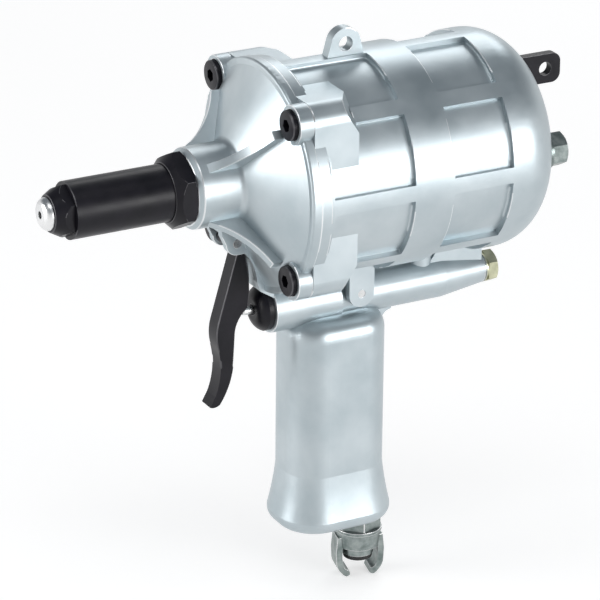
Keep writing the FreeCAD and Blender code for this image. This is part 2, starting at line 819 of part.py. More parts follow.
def make_barrel():
    """The cast barrel: two cylinders on one axis, ribbed outside, with lugs, ears and a round closed end."""
    body = new_body("barrel")
    flat = S.barrel_radius - S.barrel_end_radius
    flange_back = JOINT + S.barrel_flange_length
    section = new_sketch(body, "section", "XZ_Plane")
    outline(section, [
        (BORE_END, 0), (BARREL_BACK, 0), (BARREL_BACK, flat, S.barrel_end_radius),
        (BARREL_BACK - S.barrel_end_radius, S.barrel_radius),
        (flange_back + S.barrel_flange_bevel, S.barrel_radius), (flange_back, S.barrel_flange_radius),
        (JOINT, S.barrel_flange_radius), (JOINT, S.barrel_bore_radius),
        (BULKHEAD_BACK, S.barrel_bore_radius), (BULKHEAD_BACK, S.rear_bore_radius),
        (BORE_END - S.bore_end_corner, S.rear_bore_radius),
        (BORE_END, S.rear_bore_radius - S.bore_end_corner),
    ])
    revolve(body, section)
    clip = new_sketch(body, "ring_groove", "XZ_Plane")
    groove_start = S.bulkhead_start - S.ring_thickness
    outline(clip, [
        (groove_start, S.barrel_bore_radius - 1), (S.bulkhead_start, S.barrel_bore_radius - 1),
        (S.bulkhead_start, S.barrel_bore_radius + S.ring_depth),
        (groove_start, S.barrel_bore_radius + S.ring_depth),
    ])
    groove(body, clip)
    add_panels(body)
    add_screw_bosses(body)
    add_top_lug(body)
    add_side_ears(body)
    add_ports(body)
    keep(body)


def add_panels(body):
    """Two rows of shallow panels, which leave eight ribs, a middle band and two end bands standing."""
    cuts = []
    rows = ((S.front_panel_start, S.front_panel_length), (S.rear_panel_start, S.rear_panel_length))
    for index, (start, length) in enumerate(rows):
        panel = new_sketch(body, "panel_%d" % (index + 1), "XZ_Plane", tilt=22.5)
        outline(panel, [
            (start, PANEL_FLOOR), (start + length, PANEL_FLOOR), (start + length, S.barrel_radius + 1),
            (start, S.barrel_radius + 1),
        ])
        cuts.append(groove(body, panel, angle=S.panel_angle, symmetric=True))
    around(body, cuts, 8)


def add_screw_bosses(body):
    """Four square bosses behind the rim, which hold the screws' threads and slope off at the back."""
    edge = S.bolt_offset + S.lug_radius
    root = (S.barrel_bore_radius + 1.8) * SIN_45
    boss = new_sketch(body, "boss", "YZ_Plane", lift=JOINT)
    outline(boss, [
        (S.boss_web, edge), (root, root), (edge, S.boss_web), (edge, S.bolt_offset, S.lug_radius),
        (S.bolt_offset, edge),
    ])
    boss_pad = pad(body, boss, S.boss_length)
    slope = new_sketch(body, "boss_slope", "XZ_Plane", tilt=-45)
    outer = S.bolt_offset / SIN_45 + S.lug_radius
    boss_end = JOINT + S.boss_length
    beyond = outer * 2 - S.boss_slope_radius
    outline(slope, [
        (boss_end, S.boss_slope_radius), (boss_end + 1, S.boss_slope_radius), (boss_end + 1, beyond),
        (boss_end - 2 * S.boss_slope_length, beyond),
    ])
    boss_slope = pocket(body, slope, 2 * S.barrel_radius, symmetric=True)
    hole = new_sketch(body, "thread", "YZ_Plane", lift=JOINT)
    ring(hole, S.bolt_offset, S.bolt_offset, S.screw_radius + S.thread_gap)
    thread = pocket(body, hole, S.screw_hole_depth)
    around(body, [boss_pad, boss_slope, thread], 4)


def add_top_lug(body):
    """The upright lug that the tool hangs from, with its hole."""
    radius = S.top_lug_radius
    lean = math.radians(20)
    reach, rise = radius * math.cos(lean), S.top_lug_height + radius * math.sin(lean)
    foot = PANEL_FLOOR - 1
    lug = new_sketch(body, "top_lug", "XZ_Plane")
    outline(lug, [
        (S.top_lug_place - S.top_lug_base / 2, foot), (S.top_lug_place + S.top_lug_base / 2, foot),
        (S.top_lug_place + reach, rise, radius), (S.top_lug_place, S.top_lug_height + radius, radius),
        (S.top_lug_place - reach, rise),
    ])
    pad(body, lug, S.top_lug_thickness, symmetric=True)
    hole = new_sketch(body, "top_lug_hole", "XZ_Plane")
    ring(hole, S.top_lug_place, S.top_lug_height, S.top_lug_hole_radius)
    pocket(body, hole, S.top_lug_thickness + 2, symmetric=True)


def add_side_ears(body):
    """Two ears that hang beside the handle's arm and take the cross pin."""
    left, right = S.side_ear_place - S.side_ear_radius, S.side_ear_place + S.side_ear_radius
    low = -(S.side_ear_drop + S.side_ear_radius)
    inner = S.side_ear_gap / 2
    ear = new_sketch(body, "side_ear", "XZ_Plane", lift=inner)
    outline(ear, [
        (left, -(PANEL_FLOOR - 2.4)), (left, -S.side_ear_drop, S.side_ear_radius),
        (S.side_ear_place, low, S.side_ear_radius), (right, -S.side_ear_drop),
        (right, -(PANEL_FLOOR - 2.4)),
    ])
    ear_pad = pad(body, ear, S.side_ear_thickness)
    hole = new_sketch(body, "side_ear_hole", "XZ_Plane", lift=inner - 1)
    ring(hole, S.side_ear_place, -S.side_ear_drop, S.handle_pin_radius + S.press_gap)
    ear_hole = pocket(body, hole, S.side_ear_thickness + 2)
    mirror(body, [ear_pad, ear_hole], "XZ_Plane")


def add_ports(body):
    """The two air ports on the underside, the breather's thread and the hanger screw's thread in the end."""
    for index, place in enumerate((S.front_port_place, S.rear_port_place)):
        port = new_sketch(body, "port_%d" % (index + 1), "XY_Plane", lift=-S.gallery_drop)
        ring(port, place, 0, S.port_radius + S.press_gap)
        pocket(body, port, S.gallery_drop - S.rear_bore_radius + S.barrel_wall / 2)
    breather = new_sketch(body, "breather_thread", "YZ_Plane", lift=BORE_END - 1)
    ring(breather, -S.plug_side, -S.plug_drop, S.plug_thread_radius + S.thread_gap)
    pocket(body, breather, S.barrel_end_wall + 2)
    screw = new_sketch(body, "hanger_thread", "YZ_Plane", lift=BARREL_BACK)
    ring(screw, S.hanger_screw_side, S.hanger_height, S.hanger_screw_radius + S.thread_gap)
    pocket(body, screw, S.hanger_screw_length - S.hanger_thickness + 0.5, forward=False)


def make_bulkhead():
    """The wall between the two cylinders, with its seals and the ring that holds it."""
    bore = S.rod_radius + S.slide_gap
    rim = S.barrel_bore_radius - S.slide_gap
    start, end = S.bulkhead_start, BULKHEAD_BACK
    groove_start = start + 3
    groove_end = groove_start + S.seal_width
    keep(turned("bulkhead", [
        (start, bore), (groove_start, bore), (groove_start, bore + S.seal_depth),
        (groove_end, bore + S.seal_depth),
        (groove_end, bore), (end, bore), (end, rim), (groove_end, rim), (groove_end, rim - S.seal_depth),
        (groove_start, rim - S.seal_depth), (groove_start, rim), (start, rim),
    ]))
    keep(tube("bulkhead_rod_seal", groove_start, S.seal_width, bore, bore + S.seal_depth))
    keep(tube("bulkhead_seal", groove_start, S.seal_width, rim - S.seal_depth, rim))
    outer = S.barrel_bore_radius + S.ring_depth - S.slide_gap
    keep(tube("bulkhead_ring", start - S.ring_thickness, S.ring_thickness, outer - S.ring_width, outer))


# Piston rod and pistons

def make_piston_rod():
    """The steel rod: threaded nose, ground shank, collar for the front piston, tail for the rear one."""
    front = S.front_piston_start
    clip_start = front + S.piston_length
    clip_end = clip_start + S.clip_thickness
    clip_floor = S.rod_radius - S.clip_depth
    tail_end = REAR_PISTON_START + S.piston_length
    keep(turned("piston_rod", [
        (S.rod_nose_start, 0), (tail_end, 0), (tail_end, S.rod_tail_radius),
        (REAR_PISTON_START, S.rod_tail_radius), (REAR_PISTON_START, S.rod_radius),
        (clip_end, S.rod_radius), (clip_end, clip_floor), (clip_start, clip_floor),
        (clip_start, S.rod_radius),
        (front, S.rod_radius), (front, S.rod_collar_radius),
        (front - S.rod_collar_length, S.rod_collar_radius), (front - S.rod_collar_length, S.rod_radius),
        (ROD_SHOULDER, S.rod_radius), (ROD_SHOULDER, S.rod_nose_radius),
        (S.rod_nose_start, S.rod_nose_radius),
    ]))
    keep(tube("piston_clip", clip_start, S.clip_thickness, clip_floor + S.press_gap, S.clip_radius))


def piston_outline(start, bore, rim, pit=None):
    """Half the section of a piston: hub, web and rim, with the seal's groove, open to the back."""
    end = start + S.piston_length
    web = start + S.piston_web
    hub = S.piston_hub_radius
    rim_in = rim - S.seal_depth - S.piston_rim
    seal_start = start + (S.piston_length - S.seal_width) / 2
    seal_end = seal_start + S.seal_width
    bottom = [(start, bore), (end, bore)]
    if pit is not None:
        floor = end - S.rod_nut_length - S.rest_gap
        bottom = [(start, bore), (floor, bore), (floor, pit), (end, pit)]
    return bottom + [
        (end, hub), (web, hub), (web, rim_in), (end, rim_in), (end, rim), (seal_end, rim),
        (seal_end, rim - S.seal_depth), (seal_start, rim - S.seal_depth), (seal_start, rim), (start, rim),
    ]


def make_pistons():
    """The two pistons, their cup seals and the nut that clamps the rear one."""
    seals = []
    bores = ((S.front_piston_start, S.barrel_bore_radius), (REAR_PISTON_START, S.rear_bore_radius))
    for index, (start, bore) in enumerate(bores):
        rim = bore - 2 * S.slide_gap + S.press_gap
        seal_start = start + (S.piston_length - S.seal_width) / 2
        seals.append(tube("piston_seal_%d" % (index + 1), seal_start, S.seal_width, rim - S.seal_depth, rim))
    front_rim = S.barrel_bore_radius - 2 * S.slide_gap
    rear_rim = S.rear_bore_radius - 2 * S.slide_gap
    nut_pit = S.rod_nut_flats / (2 * COS_30) + 0.4
    keep(turned("front_piston", piston_outline(S.front_piston_start, S.rod_radius + S.press_gap, front_rim)))
    keep(turned("rear_piston",
                piston_outline(REAR_PISTON_START, S.rod_tail_radius + S.press_gap, rear_rim, nut_pit)))
    keep(group("piston_seals", seals))
    nut = new_body("rod_nut")
    face = new_sketch(nut, "face", "YZ_Plane", lift=REAR_PISTON_START + S.piston_length - S.rod_nut_length)
    hexagon(face, S.rod_nut_flats)
    ring(face, 0, 0, S.rod_tail_radius + S.thread_gap)
    pad(nut, face, S.rod_nut_length - S.rest_gap)
    keep(nut)


def make_return_spring():
    """The spring that pushes the pistons forward again."""
    start = S.front_piston_start + S.piston_web + S.rest_gap
    length = S.bulkhead_start - start - S.rest_gap
    keep(coil("return_spring", start, length, S.return_spring_radius, S.return_spring_wire,
              S.return_spring_turns))


# Jaws

def jaw_cone(x):
    """The radius of the jaw housing's cone at a place."""
    slope = (S.jaw_chamber_radius - S.jaw_mouth_radius) / S.jaw_cone_length
    return S.jaw_mouth_radius + (x - S.jaw_housing_start) * slope


def make_jaw_housing():
    """The tube on the rod's nose whose cone squeezes the jaws."""
    bore = S.rod_nose_radius + S.thread_gap
    keep(turned("jaw_housing", [
        (S.jaw_housing_start, S.jaw_mouth_radius), (JAW_CONE_END, S.jaw_chamber_radius),
        (S.rod_nose_start, S.jaw_chamber_radius), (S.rod_nose_start, bore), (ROD_SHOULDER, bore),
        (ROD_SHOULDER, S.jaw_housing_radius), (S.jaw_housing_start + 1, S.jaw_housing_radius),
        (S.jaw_housing_start, S.jaw_housing_radius - 1),
    ]))


def make_jaws():
    """Three hardened jaws that grip the mandrel, each a third of a cone."""
    start = SLEEVE_FRONT + S.nozzle_thread_length + S.nozzle_tip_length + S.free_gap
    end = JAW_CONE_END
    for index, name in enumerate(("jaw_upper", "jaw_near", "jaw_far")):
        body = new_body(name)
        section = new_sketch(body, "section", "XZ_Plane", tilt=120 * index)
        outline(section, [
            (start, S.jaw_hole_radius), (end, S.jaw_hole_radius), (end, jaw_cone(end) - S.free_gap),
            (start, jaw_cone(start) - S.free_gap),
        ])
        revolve(body, section, angle=S.jaw_angle, symmetric=True)
        keep(body)


def make_jaw_pusher():
    """The ring and the spring that press on the back of the jaws."""
    start = JAW_CONE_END + S.rest_gap
    keep(tube("jaw_pusher", start, S.pusher_length, S.jaw_hole_radius, S.pusher_radius))
    spring = start + S.pusher_length + S.rest_gap
    keep(coil("jaw_spring", spring, S.rod_nose_start - spring - S.rest_gap, S.jaw_spring_radius,
              S.jaw_spring_wire, S.jaw_spring_turns))


# Trigger

def make_trigger():
    """The lever trigger: an eye on its pin, a heel over the valve stem and a curved blade for the finger."""
    x, z = S.pivot_place, -S.pivot_drop
    eye = S.trigger_eye_radius
    body = new_body("trigger")
    side = new_sketch(body, "side", "XZ_Plane")
    long = S.trigger_length
    outline(side, [
        (x - eye, z, eye), (x - 0.6 * eye, z - 0.8 * eye), (x + 0.0227 * long, z - 0.0893 * long),
        (x - 0.092 * long, z - 0.4933 * long, 0.2933 * long),
        (x - 0.092 * long, z - 0.6467 * long, -0.4587 * long),
        (x - 0.1093 * long, z - 0.9387 * long), (x - 0.1427 * long, z - long, 0.0613 * long),
        (x - 0.08 * long, z - 0.992 * long, 0.4867 * long), (x + 0.0067 * long, z - 0.7267 * long),
        (x + 0.0147 * long, z - 0.5667 * long, -0.1947 * long), (x + 0.0947 * long, z - 0.428 * long),
        (x + 0.1053 * long, z - 0.3267 * long), (x + 0.1027 * long, z - 0.22 * long),
        (x + 0.0827 * long, z - 0.1 * long), (x + eye, z, eye), (x, z + eye, eye),
    ])
    pad(body, side, S.trigger_width, symmetric=True)
    hole = new_sketch(body, "pin_hole", "XZ_Plane")
    ring(hole, x, z, S.pivot_pin_radius + S.slide_gap)
    pocket(body, hole, S.trigger_width + 2, symmetric=True)
    keep(body)
    pin = solid_bar("trigger_pin", -S.bracket_width / 2 - 0.2, S.bracket_width + 0.4, S.pivot_pin_radius)
    lay_across(pin, S.pivot_place, -S.pivot_drop)


def lay_across(body, x, z):
    """Put a bar that was turned along X across the tool, along Y."""
    body.Placement = FreeCAD.Placement(FreeCAD.Vector(0, 0, 0), FreeCAD.Rotation(FreeCAD.Vector(0, 0, 1), 90))
    bind(body, "Placement.Base.x", x)
    bind(body, "Placement.Base.z", z)
    keep(body)


# Handle

def make_handle():
    """The cast handle: flared grip, valve boss, long arm under the barrel, saddle and bored galleries."""
    body = new_body("handle")
    add_grip(body)
    add_arm(body)
    cut_barrel_room(body)
    bore_handle(body)
    keep(body)


def grip_section(body, name, drop, flare):
    sketch = new_sketch(body, name, "XY_Plane", lift=-drop)
    rounded_box(sketch, S.grip_place, 0 * S.grip_width, S.grip_depth + 2 * flare, S.grip_width + 2 * flare,
                S.grip_corner + flare)
    return sketch


def add_grip(body):
    """The grip: straight at the top, flared near the bottom and rounded underneath."""
    top = grip_section(body, "grip_top", S.grip_top, 0 * S.grip_flare)
    pad(body, top, S.grip_straight_end - S.grip_top, back=True)
    shoulder = number(-S.grip_top)
    round_edges(body, S.grip_shoulder_round, lambda edge: edge.BoundBox.ZMin > shoulder - 0.01)
    upper = grip_section(body, "flare_start", S.grip_straight_end, 0 * S.grip_flare)
    middle_drop = (S.grip_straight_end + S.grip_flare_end) / 2
    middle = grip_section(body, "flare_middle", middle_drop, S.grip_flare * 0.4)
    lower = grip_section(body, "flare_end", S.grip_flare_end, S.grip_flare)
    flare = body.newObject("PartDesign::AdditiveLoft", "grip_flare_loft")
    flare.Profile = upper
    flare.Sections = [middle, lower]
    finish_feature(body, flare)
    foot = grip_section(body, "grip_foot", S.grip_flare_end, S.grip_flare)
    pad(body, foot, S.grip_bottom - S.grip_flare_end, back=True)
    bottom = number(-S.grip_bottom)
    round_edges(body, S.grip_bottom_round, lambda edge: edge.BoundBox.ZMax < bottom + 0.01)


def add_arm(body):
    """The valve boss in front of the grip, and the arm behind it that tapers to its plug."""
    boss = new_sketch(body, "valve_boss", "XZ_Plane")
    axis_line(boss, JOINT, -S.valve_drop, 10)
    outline(boss, [
        (JOINT, -S.valve_drop), (S.grip_place, -S.valve_drop),
        (S.grip_place, -(S.valve_drop - S.valve_boss_radius)),
        (JOINT, -(S.valve_drop - S.valve_boss_radius)),
    ])
    revolve(body, boss, axis="Axis0")
    arm = new_sketch(body, "arm", "XZ_Plane")
    axis_line(arm, S.grip_place - 6, -S.arm_drop, 10)
    outline(arm, [
        (S.grip_place - 6, -S.arm_drop), (S.arm_end, -S.arm_drop),
        (S.arm_end, -(S.arm_drop - S.arm_end_radius)),
        (S.arm_taper_start, -(S.arm_drop - S.arm_radius)), (S.grip_place - 6, -(S.arm_drop - S.arm_radius)),
    ])
    revolve(body, arm, axis="Axis0")
    web = new_sketch(body, "web", "XZ_Plane")
    under = S.arm_drop + S.arm_radius
    outline(web, [
        (GRIP_BACK - 3, -(under - 3)), (GRIP_BACK - 3, -(under + S.grip_web_round)),
        (GRIP_BACK, -(under + S.grip_web_round), -S.grip_web_round), (GRIP_BACK + S.grip_web_round, -under),
        (GRIP_BACK + S.grip_web_round, -(under - 3)),
    ])
    pad(body, web, S.grip_web_width, symmetric=True)
    saddle = new_sketch(body, "saddle", "XZ_Plane")
    saddle_back = S.arm_end - 1
    outline(saddle, [
        (saddle_back - S.saddle_length - 7, -(S.arm_drop - S.arm_radius + 2)),
        (saddle_back, -(S.arm_drop - S.arm_end_radius + 2)), (saddle_back, -(PANEL_FLOOR - 1)),
        (saddle_back - S.saddle_length, -(PANEL_FLOOR - 1)),
    ])
    pad(body, saddle, S.saddle_width, symmetric=True)
    port = new_sketch(body, "port_boss", "XY_Plane", lift=-S.arm_drop)
    ring(port, S.rear_port_place, 0, S.port_boss_radius)
    pad(body, port, S.arm_drop - PANEL_FLOOR + 1)


def cut_barrel_room(body):
    """Cut the handle clear of the barrel and of the rim in front of it."""
    room = new_sketch(body, "barrel_room", "XZ_Plane")
    rim_back = JOINT + S.barrel_flange_length + S.barrel_flange_bevel + S.arm_gap
    end_x = BARREL_BACK + 5
    outline(room, [
        (JOINT - 20, 0), (end_x, 0), (end_x, ARM_CLEAR), (rim_back, ARM_CLEAR), (rim_back, FLANGE_CLEAR),
        (JOINT - 20, FLANGE_CLEAR),
    ])
    groove(body, room)


def bore_handle(body):
    """The valve bore, the gallery along the arm, the ports up to the barrel, the inlet and the pin hole."""
    valve = new_sketch(body, "valve_bore", "YZ_Plane", lift=JOINT - 1)
    ring(valve, 0, -S.valve_drop, S.valve_bore_radius)
    pocket(body, valve, S.valve_bore_end - JOINT + 1)
    gallery = new_sketch(body, "gallery", "YZ_Plane", lift=S.valve_bore_end - 2)
    ring(gallery, 0, -S.gallery_drop, S.gallery_radius)
    pocket(body, gallery, S.arm_end - S.valve_bore_end + 3)
    thread = new_sketch(body, "plug_thread", "YZ_Plane", lift=S.arm_end + 1)
    ring(thread, 0, -S.arm_drop, S.arm_plug_thread_radius + S.thread_gap)
    pocket(body, thread, S.arm_plug_thread + 2, forward=False)
    for index, place in enumerate((S.front_port_place, S.rear_port_place)):
        port = new_sketch(body, "port_%d" % (index + 1), "XY_Plane", lift=-S.barrel_radius + 4)
        ring(port, place, 0, S.port_radius + S.press_gap)
        pocket(body, port, S.gallery_drop - S.barrel_radius + 4, forward=False)
    inlet = new_sketch(body, "inlet_thread", "XY_Plane", lift=-S.grip_bottom - 1)
    ring(inlet, S.inlet_place, 0, S.inlet_thread_radius + S.thread_gap)
    pocket(body, inlet, S.inlet_thread + S.filter_length + 1)
    bore_inlet_channel(body)
    pin = new_sketch(body, "pin_hole", "XZ_Plane")
    ring(pin, S.side_ear_place, -S.side_ear_drop, S.handle_pin_radius + S.press_gap)
    pocket(body, pin, S.side_ear_gap + 10, symmetric=True)


def bore_inlet_channel(body):
    """The slanted channel from the inlet's thread up to the valve."""
    start_drop = S.grip_bottom - S.inlet_thread - S.filter_length - 0.5 + 1
    line = new_sketch(body, "channel_line", "XZ_Plane")
    element = line.addGeometry(Part.LineSegment(vector(S.inlet_place, -start_drop),
                                                vector(S.valve_bore_end - S.valve_inlet_inset, -S.valve_drop)), False)
    hold(line, element, 1, S.inlet_place, -start_drop)
    hold(line, element, 2, S.valve_bore_end - S.valve_inlet_inset, -S.valve_drop)
    section = new_sketch(body, "channel_section", "XY_Plane", lift=-start_drop)
    ring(section, S.inlet_place, 0, S.inlet_channel_radius)
    channel = body.newObject("PartDesign::SubtractivePipe", "inlet_channel")
    channel.Profile = section
    channel.Spine = (line, ["Edge1"])
    finish_feature(body, channel, cuts=True)


def make_handle_pin():
    """The spring pin through the ears and the arm."""
    width = S.side_ear_gap + 2 * S.side_ear_thickness
    pin = solid_bar("handle_pin", -width / 2 + 0.2, width - 0.4, S.handle_pin_radius)
    lay_across(pin, S.side_ear_place, -S.side_ear_drop)


def make_transfer_tubes():
    """The two short tubes that carry air from the handle into the cylinders."""
    seals = []
    front_low = S.valve_drop - S.valve_bore_radius - S.free_gap
    rear_low = S.gallery_drop - S.gallery_radius - S.free_gap
    rows = (
        ("front_transfer_tube", S.front_port_place, S.barrel_bore_radius + S.tube_reach, front_low),
        ("rear_transfer_tube", S.rear_port_place, S.rear_bore_radius + S.tube_reach, rear_low),
    )
    for name, place, top, low in rows:
        body = new_body(name, (place, 0, 0))
        section = new_sketch(body, "section", "XZ_Plane")
        neck_top, neck_low = S.barrel_radius - S.tube_groove_reach, S.barrel_radius + S.tube_groove_reach
        waist = S.port_radius - S.tube_groove_depth
        outline(section, [
            (S.port_hole_radius, -low), (S.port_radius, -low), (S.port_radius, -neck_low), (waist, -neck_low),
            (waist, -neck_top), (S.port_radius, -neck_top), (S.port_radius, -top), (S.port_hole_radius, -top),
        ])
        revolve(body, section, axis="V_Axis")
        keep(body)
        seal = new_body(name + "_seal", (place, 0, 0))
        profile = new_sketch(seal, "section", "XZ_Plane")
        outline(profile, [
            (waist, -neck_low), (S.port_radius, -neck_low), (S.port_radius, -neck_top), (waist, -neck_top),
        ])
        revolve(seal, profile, axis="V_Axis")
        seals.append(seal)
    keep(group("transfer_seals", seals))


def hex_plug(label, place, start, flats, head, collar_radius, collar, thread_radius, thread, bore=None):
    """A plug along X: thread, round collar and hexagonal head, bored through if a bore is given."""
    inner = 0 if bore is None else bore
    body = new_body(label, place)
    section = new_sketch(body, "section", "XZ_Plane")
    outline(section, [
        (start - thread, inner), (start + collar, inner), (start + collar, collar_radius),
        (start, collar_radius),
        (start, thread_radius), (start - thread, thread_radius),
    ])
    revolve(body, section)
    face = new_sketch(body, "head", "YZ_Plane", lift=start + collar)
    hexagon(face, flats)
    if bore is not None:
        ring(face, 0, 0, bore)
    pad(body, face, head)
    corner = flats / (2 * COS_30)
    chamfer = new_sketch(body, "head_chamfer", "XZ_Plane")
    end = start + collar + head
    outline(chamfer, [(end - 1, corner), (end, corner - 1.6), (end, corner + 1), (end - 1, corner + 1)])
    groove(body, chamfer)
    return body


def make_arm_plug():
    """The brass plug that closes the gallery, and its washer."""
    place = (0, 0, -S.arm_drop)
    keep(tube("arm_plug_washer", S.arm_end, S.arm_washer_length, S.arm_plug_thread_radius + S.thread_gap,
              S.arm_end_radius, place))
    start = S.arm_end + S.arm_washer_length
    keep(hex_plug("arm_plug", place, start, S.arm_plug_flats, S.arm_plug_head - 1, S.arm_plug_flats / 2,
                  1.0, S.arm_plug_thread_radius, S.arm_plug_thread))


# Valve

def make_valve():
    """The valve in the handle: cap, sleeve, stem with its spool, seals and spring."""
    place = (0, 0, -S.valve_drop)
    stem_hole = S.valve_stem_radius + S.slide_gap
    cap_front = JOINT - S.valve_cap_length
    thread_back = JOINT + S.valve_cap_thread
    thread = S.valve_bore_radius - S.thread_gap
    keep(turned("valve_cap", [
        (cap_front + 0.6, stem_hole), (thread_back, stem_hole), (thread_back, thread), (JOINT, thread),
        (JOINT, S.valve_cap_radius), (JOINT - S.valve_cap_edge, S.valve_cap_radius, S.valve_cap_dome),
        (cap_front, S.valve_cap_face),
        (cap_front, stem_hole + 0.8),
    ], place))
    bore = S.valve_spool_radius + S.slide_gap + S.press_gap
    sleeve_start = thread_back + S.seat_gap
    sleeve_end = S.valve_bore_end - 2
    rim = S.valve_bore_radius - S.press_gap
    waist = rim - S.valve_seal_depth
    width = S.valve_seal_width
    seal_places = (S.front_port_place + S.port_radius + S.rest_gap, sleeve_end - S.valve_seal_inset)
    corners = [(sleeve_start, bore), (sleeve_end, bore), (sleeve_end, rim)]
    for seal in reversed(seal_places):
        corners += [(seal + width, rim), (seal + width, waist), (seal, waist), (seal, rim)]
    corners.append((sleeve_start, rim))
    sleeve = turned("valve_sleeve", corners, place)
    outlet = new_sketch(sleeve, "outlet", "XY_Plane")
    ring(outlet, S.front_port_place, 0, S.port_hole_radius)
    pocket(sleeve, outlet, S.valve_bore_radius + 1)
    inlet = new_sketch(sleeve, "inlet", "XY_Plane")
    ring(inlet, S.valve_bore_end - S.valve_inlet_inset, 0, S.port_radius)
    pocket(sleeve, inlet, S.valve_bore_radius + 1, forward=False)
    keep(sleeve)
    seals = [tube("valve_seal_%d" % (index + 1), start, width, waist, rim, place)
             for index, start in enumerate(seal_places)]
    keep(group("valve_seals", seals))
    make_valve_stem(place)


def make_valve_stem(place):
    """The stem: a round-ended pin through the cap, and the spool with two seals of its own."""
    start = S.valve_stem_start
    spool = S.valve_spool_start
    end = spool + S.valve_spool_length
    tail = end + S.valve_spool_tail
    tip = S.valve_stem_radius
    waist = S.valve_spool_radius - S.stem_seal_depth
    seal = S.stem_seal_width
    first, last = spool + S.stem_seal_inset, end - S.stem_seal_inset - seal
    keep(turned("valve_stem", [
        (start, 0), (tail, 0), (tail, tip), (end, tip), (end, S.valve_spool_radius),
        (last + seal, S.valve_spool_radius), (last + seal, waist), (last, waist),
        (last, S.valve_spool_radius),
        (first + seal, S.valve_spool_radius), (first + seal, waist), (first, waist),
        (first, S.valve_spool_radius), (spool, S.valve_spool_radius), (spool, tip),
        (start + tip, tip, tip),
    ], place))
    rings = [tube("stem_seal_%d" % (index + 1), seal_start, seal, waist, S.valve_spool_radius, place)
             for index, seal_start in enumerate((first, last))]
    keep(group("stem_seals", rings))
    spring = end + S.rest_gap
    keep(coil("valve_spring", spring, S.valve_bore_end - S.rest_gap - spring, S.valve_spring_radius,
              S.valve_spring_wire, S.valve_spring_turns, place))


# Air inlet

def make_inlet():
    """The threaded nipple, the strainer above it, the claw coupling below it and its rubber seal."""
    place = (S.inlet_place, 0, 0)
    top = S.grip_bottom
    nipple = new_body("inlet_nipple", place)
    section = new_sketch(nipple, "section", "XZ_Plane")
    neck = S.inlet_thread_radius - 0.5
    body_top = top + S.inlet_hex_length
    outline(section, [
        (S.inlet_bore_radius, -(top - S.inlet_thread)), (S.inlet_bore_radius, -(body_top + 6)),
        (neck, -(body_top + 6)), (neck, -body_top), (S.inlet_thread_radius + 1.5, -body_top),
        (S.inlet_thread_radius + 1.5, -top), (S.inlet_thread_radius, -top),
        (S.inlet_thread_radius, -(top - S.inlet_thread)),
    ])
    revolve(nipple, section, axis="V_Axis")
    nut = new_sketch(nipple, "hex", "XY_Plane", lift=-body_top)
    hexagon(nut, S.inlet_flats, turn=17)
    ring(nut, 0, 0, S.inlet_thread_radius)
    pad(nipple, nut, S.inlet_hex_length)
    keep(nipple)
    strainer = new_body("inlet_strainer", place)
    disc = new_sketch(strainer, "disc", "XY_Plane", lift=-(top - S.inlet_thread))
    ring(disc, 0, 0, S.inlet_thread_radius)
    pad(strainer, disc, S.filter_length)
    keep(strainer)
    make_claw_coupling(place, body_top, neck)


def make_claw_coupling(place, body_top, neck):
    """The coupling: a rimmed body with two claws that hook towards each other, and a spigot between them."""
    body = new_body("claw_coupling", place)
    outer = S.claw_body_radius
    body_low = body_top + S.claw_body_length
    face = body_top + S.spigot_drop
    seat = face - S.inlet_seal_length
    section = new_sketch(body, "section", "XZ_Plane")
    outline(section, [
        (neck + S.thread_gap, -body_top), (neck + S.thread_gap, -(body_top + 6)),
        (S.inlet_bore_radius, -(body_top + 6)), (S.inlet_bore_radius, -seat), (S.spigot_radius, -seat),
        (S.spigot_radius, -(body_low + 1)), (outer - 1.2, -body_low),
        (outer - 0.6, -(body_top + S.claw_rim_length)),
        (outer, -(body_top + S.claw_rim_length)), (outer, -body_top),
    ])
    revolve(body, section, axis="V_Axis")
    claw = new_sketch(body, "claw", "XZ_Plane")
    tip = body_top + S.claw_tip_drop
    outline(claw, [
        (outer - 2.6, -(body_low - 5)), (outer - 2.4, -(body_low + 5)), (outer - 3.2, -(tip - 4.8), -3.0),
        (outer - 5.6, -(tip - 3.0)), (outer - 6.2, -(tip - 1), 2.6), (outer - 4.4, -tip, 8.5),
        (outer + 0.2, -(tip - 6.5)), (outer + 0.5, -(body_low + 2)), (outer - 0.2, -(body_low - 5)),
    ])
    claw_pad = pad(body, claw, S.claw_thickness, symmetric=True)
    mirror(body, [claw_pad], "YZ_Plane")
    body.Placement = FreeCAD.Placement(body.Placement.Base, FreeCAD.Rotation(FreeCAD.Vector(0, 0, 1),
                                                                            number(S.claw_turn)))
    bind(body, "Placement.Rotation.Angle", S.claw_turn)
    keep(body)
    seal = new_body("inlet_seal", place)
    profile = new_sketch(seal, "section", "XZ_Plane")
    outline(profile, [
        (S.inlet_bore_radius, -face), (S.spigot_radius - 0.6, -face), (S.spigot_radius - 0.2, -(seat)),
        (S.inlet_bore_radius, -seat),
    ])
    revolve(seal, profile, axis="V_Axis")
    keep(seal)


# Rear end

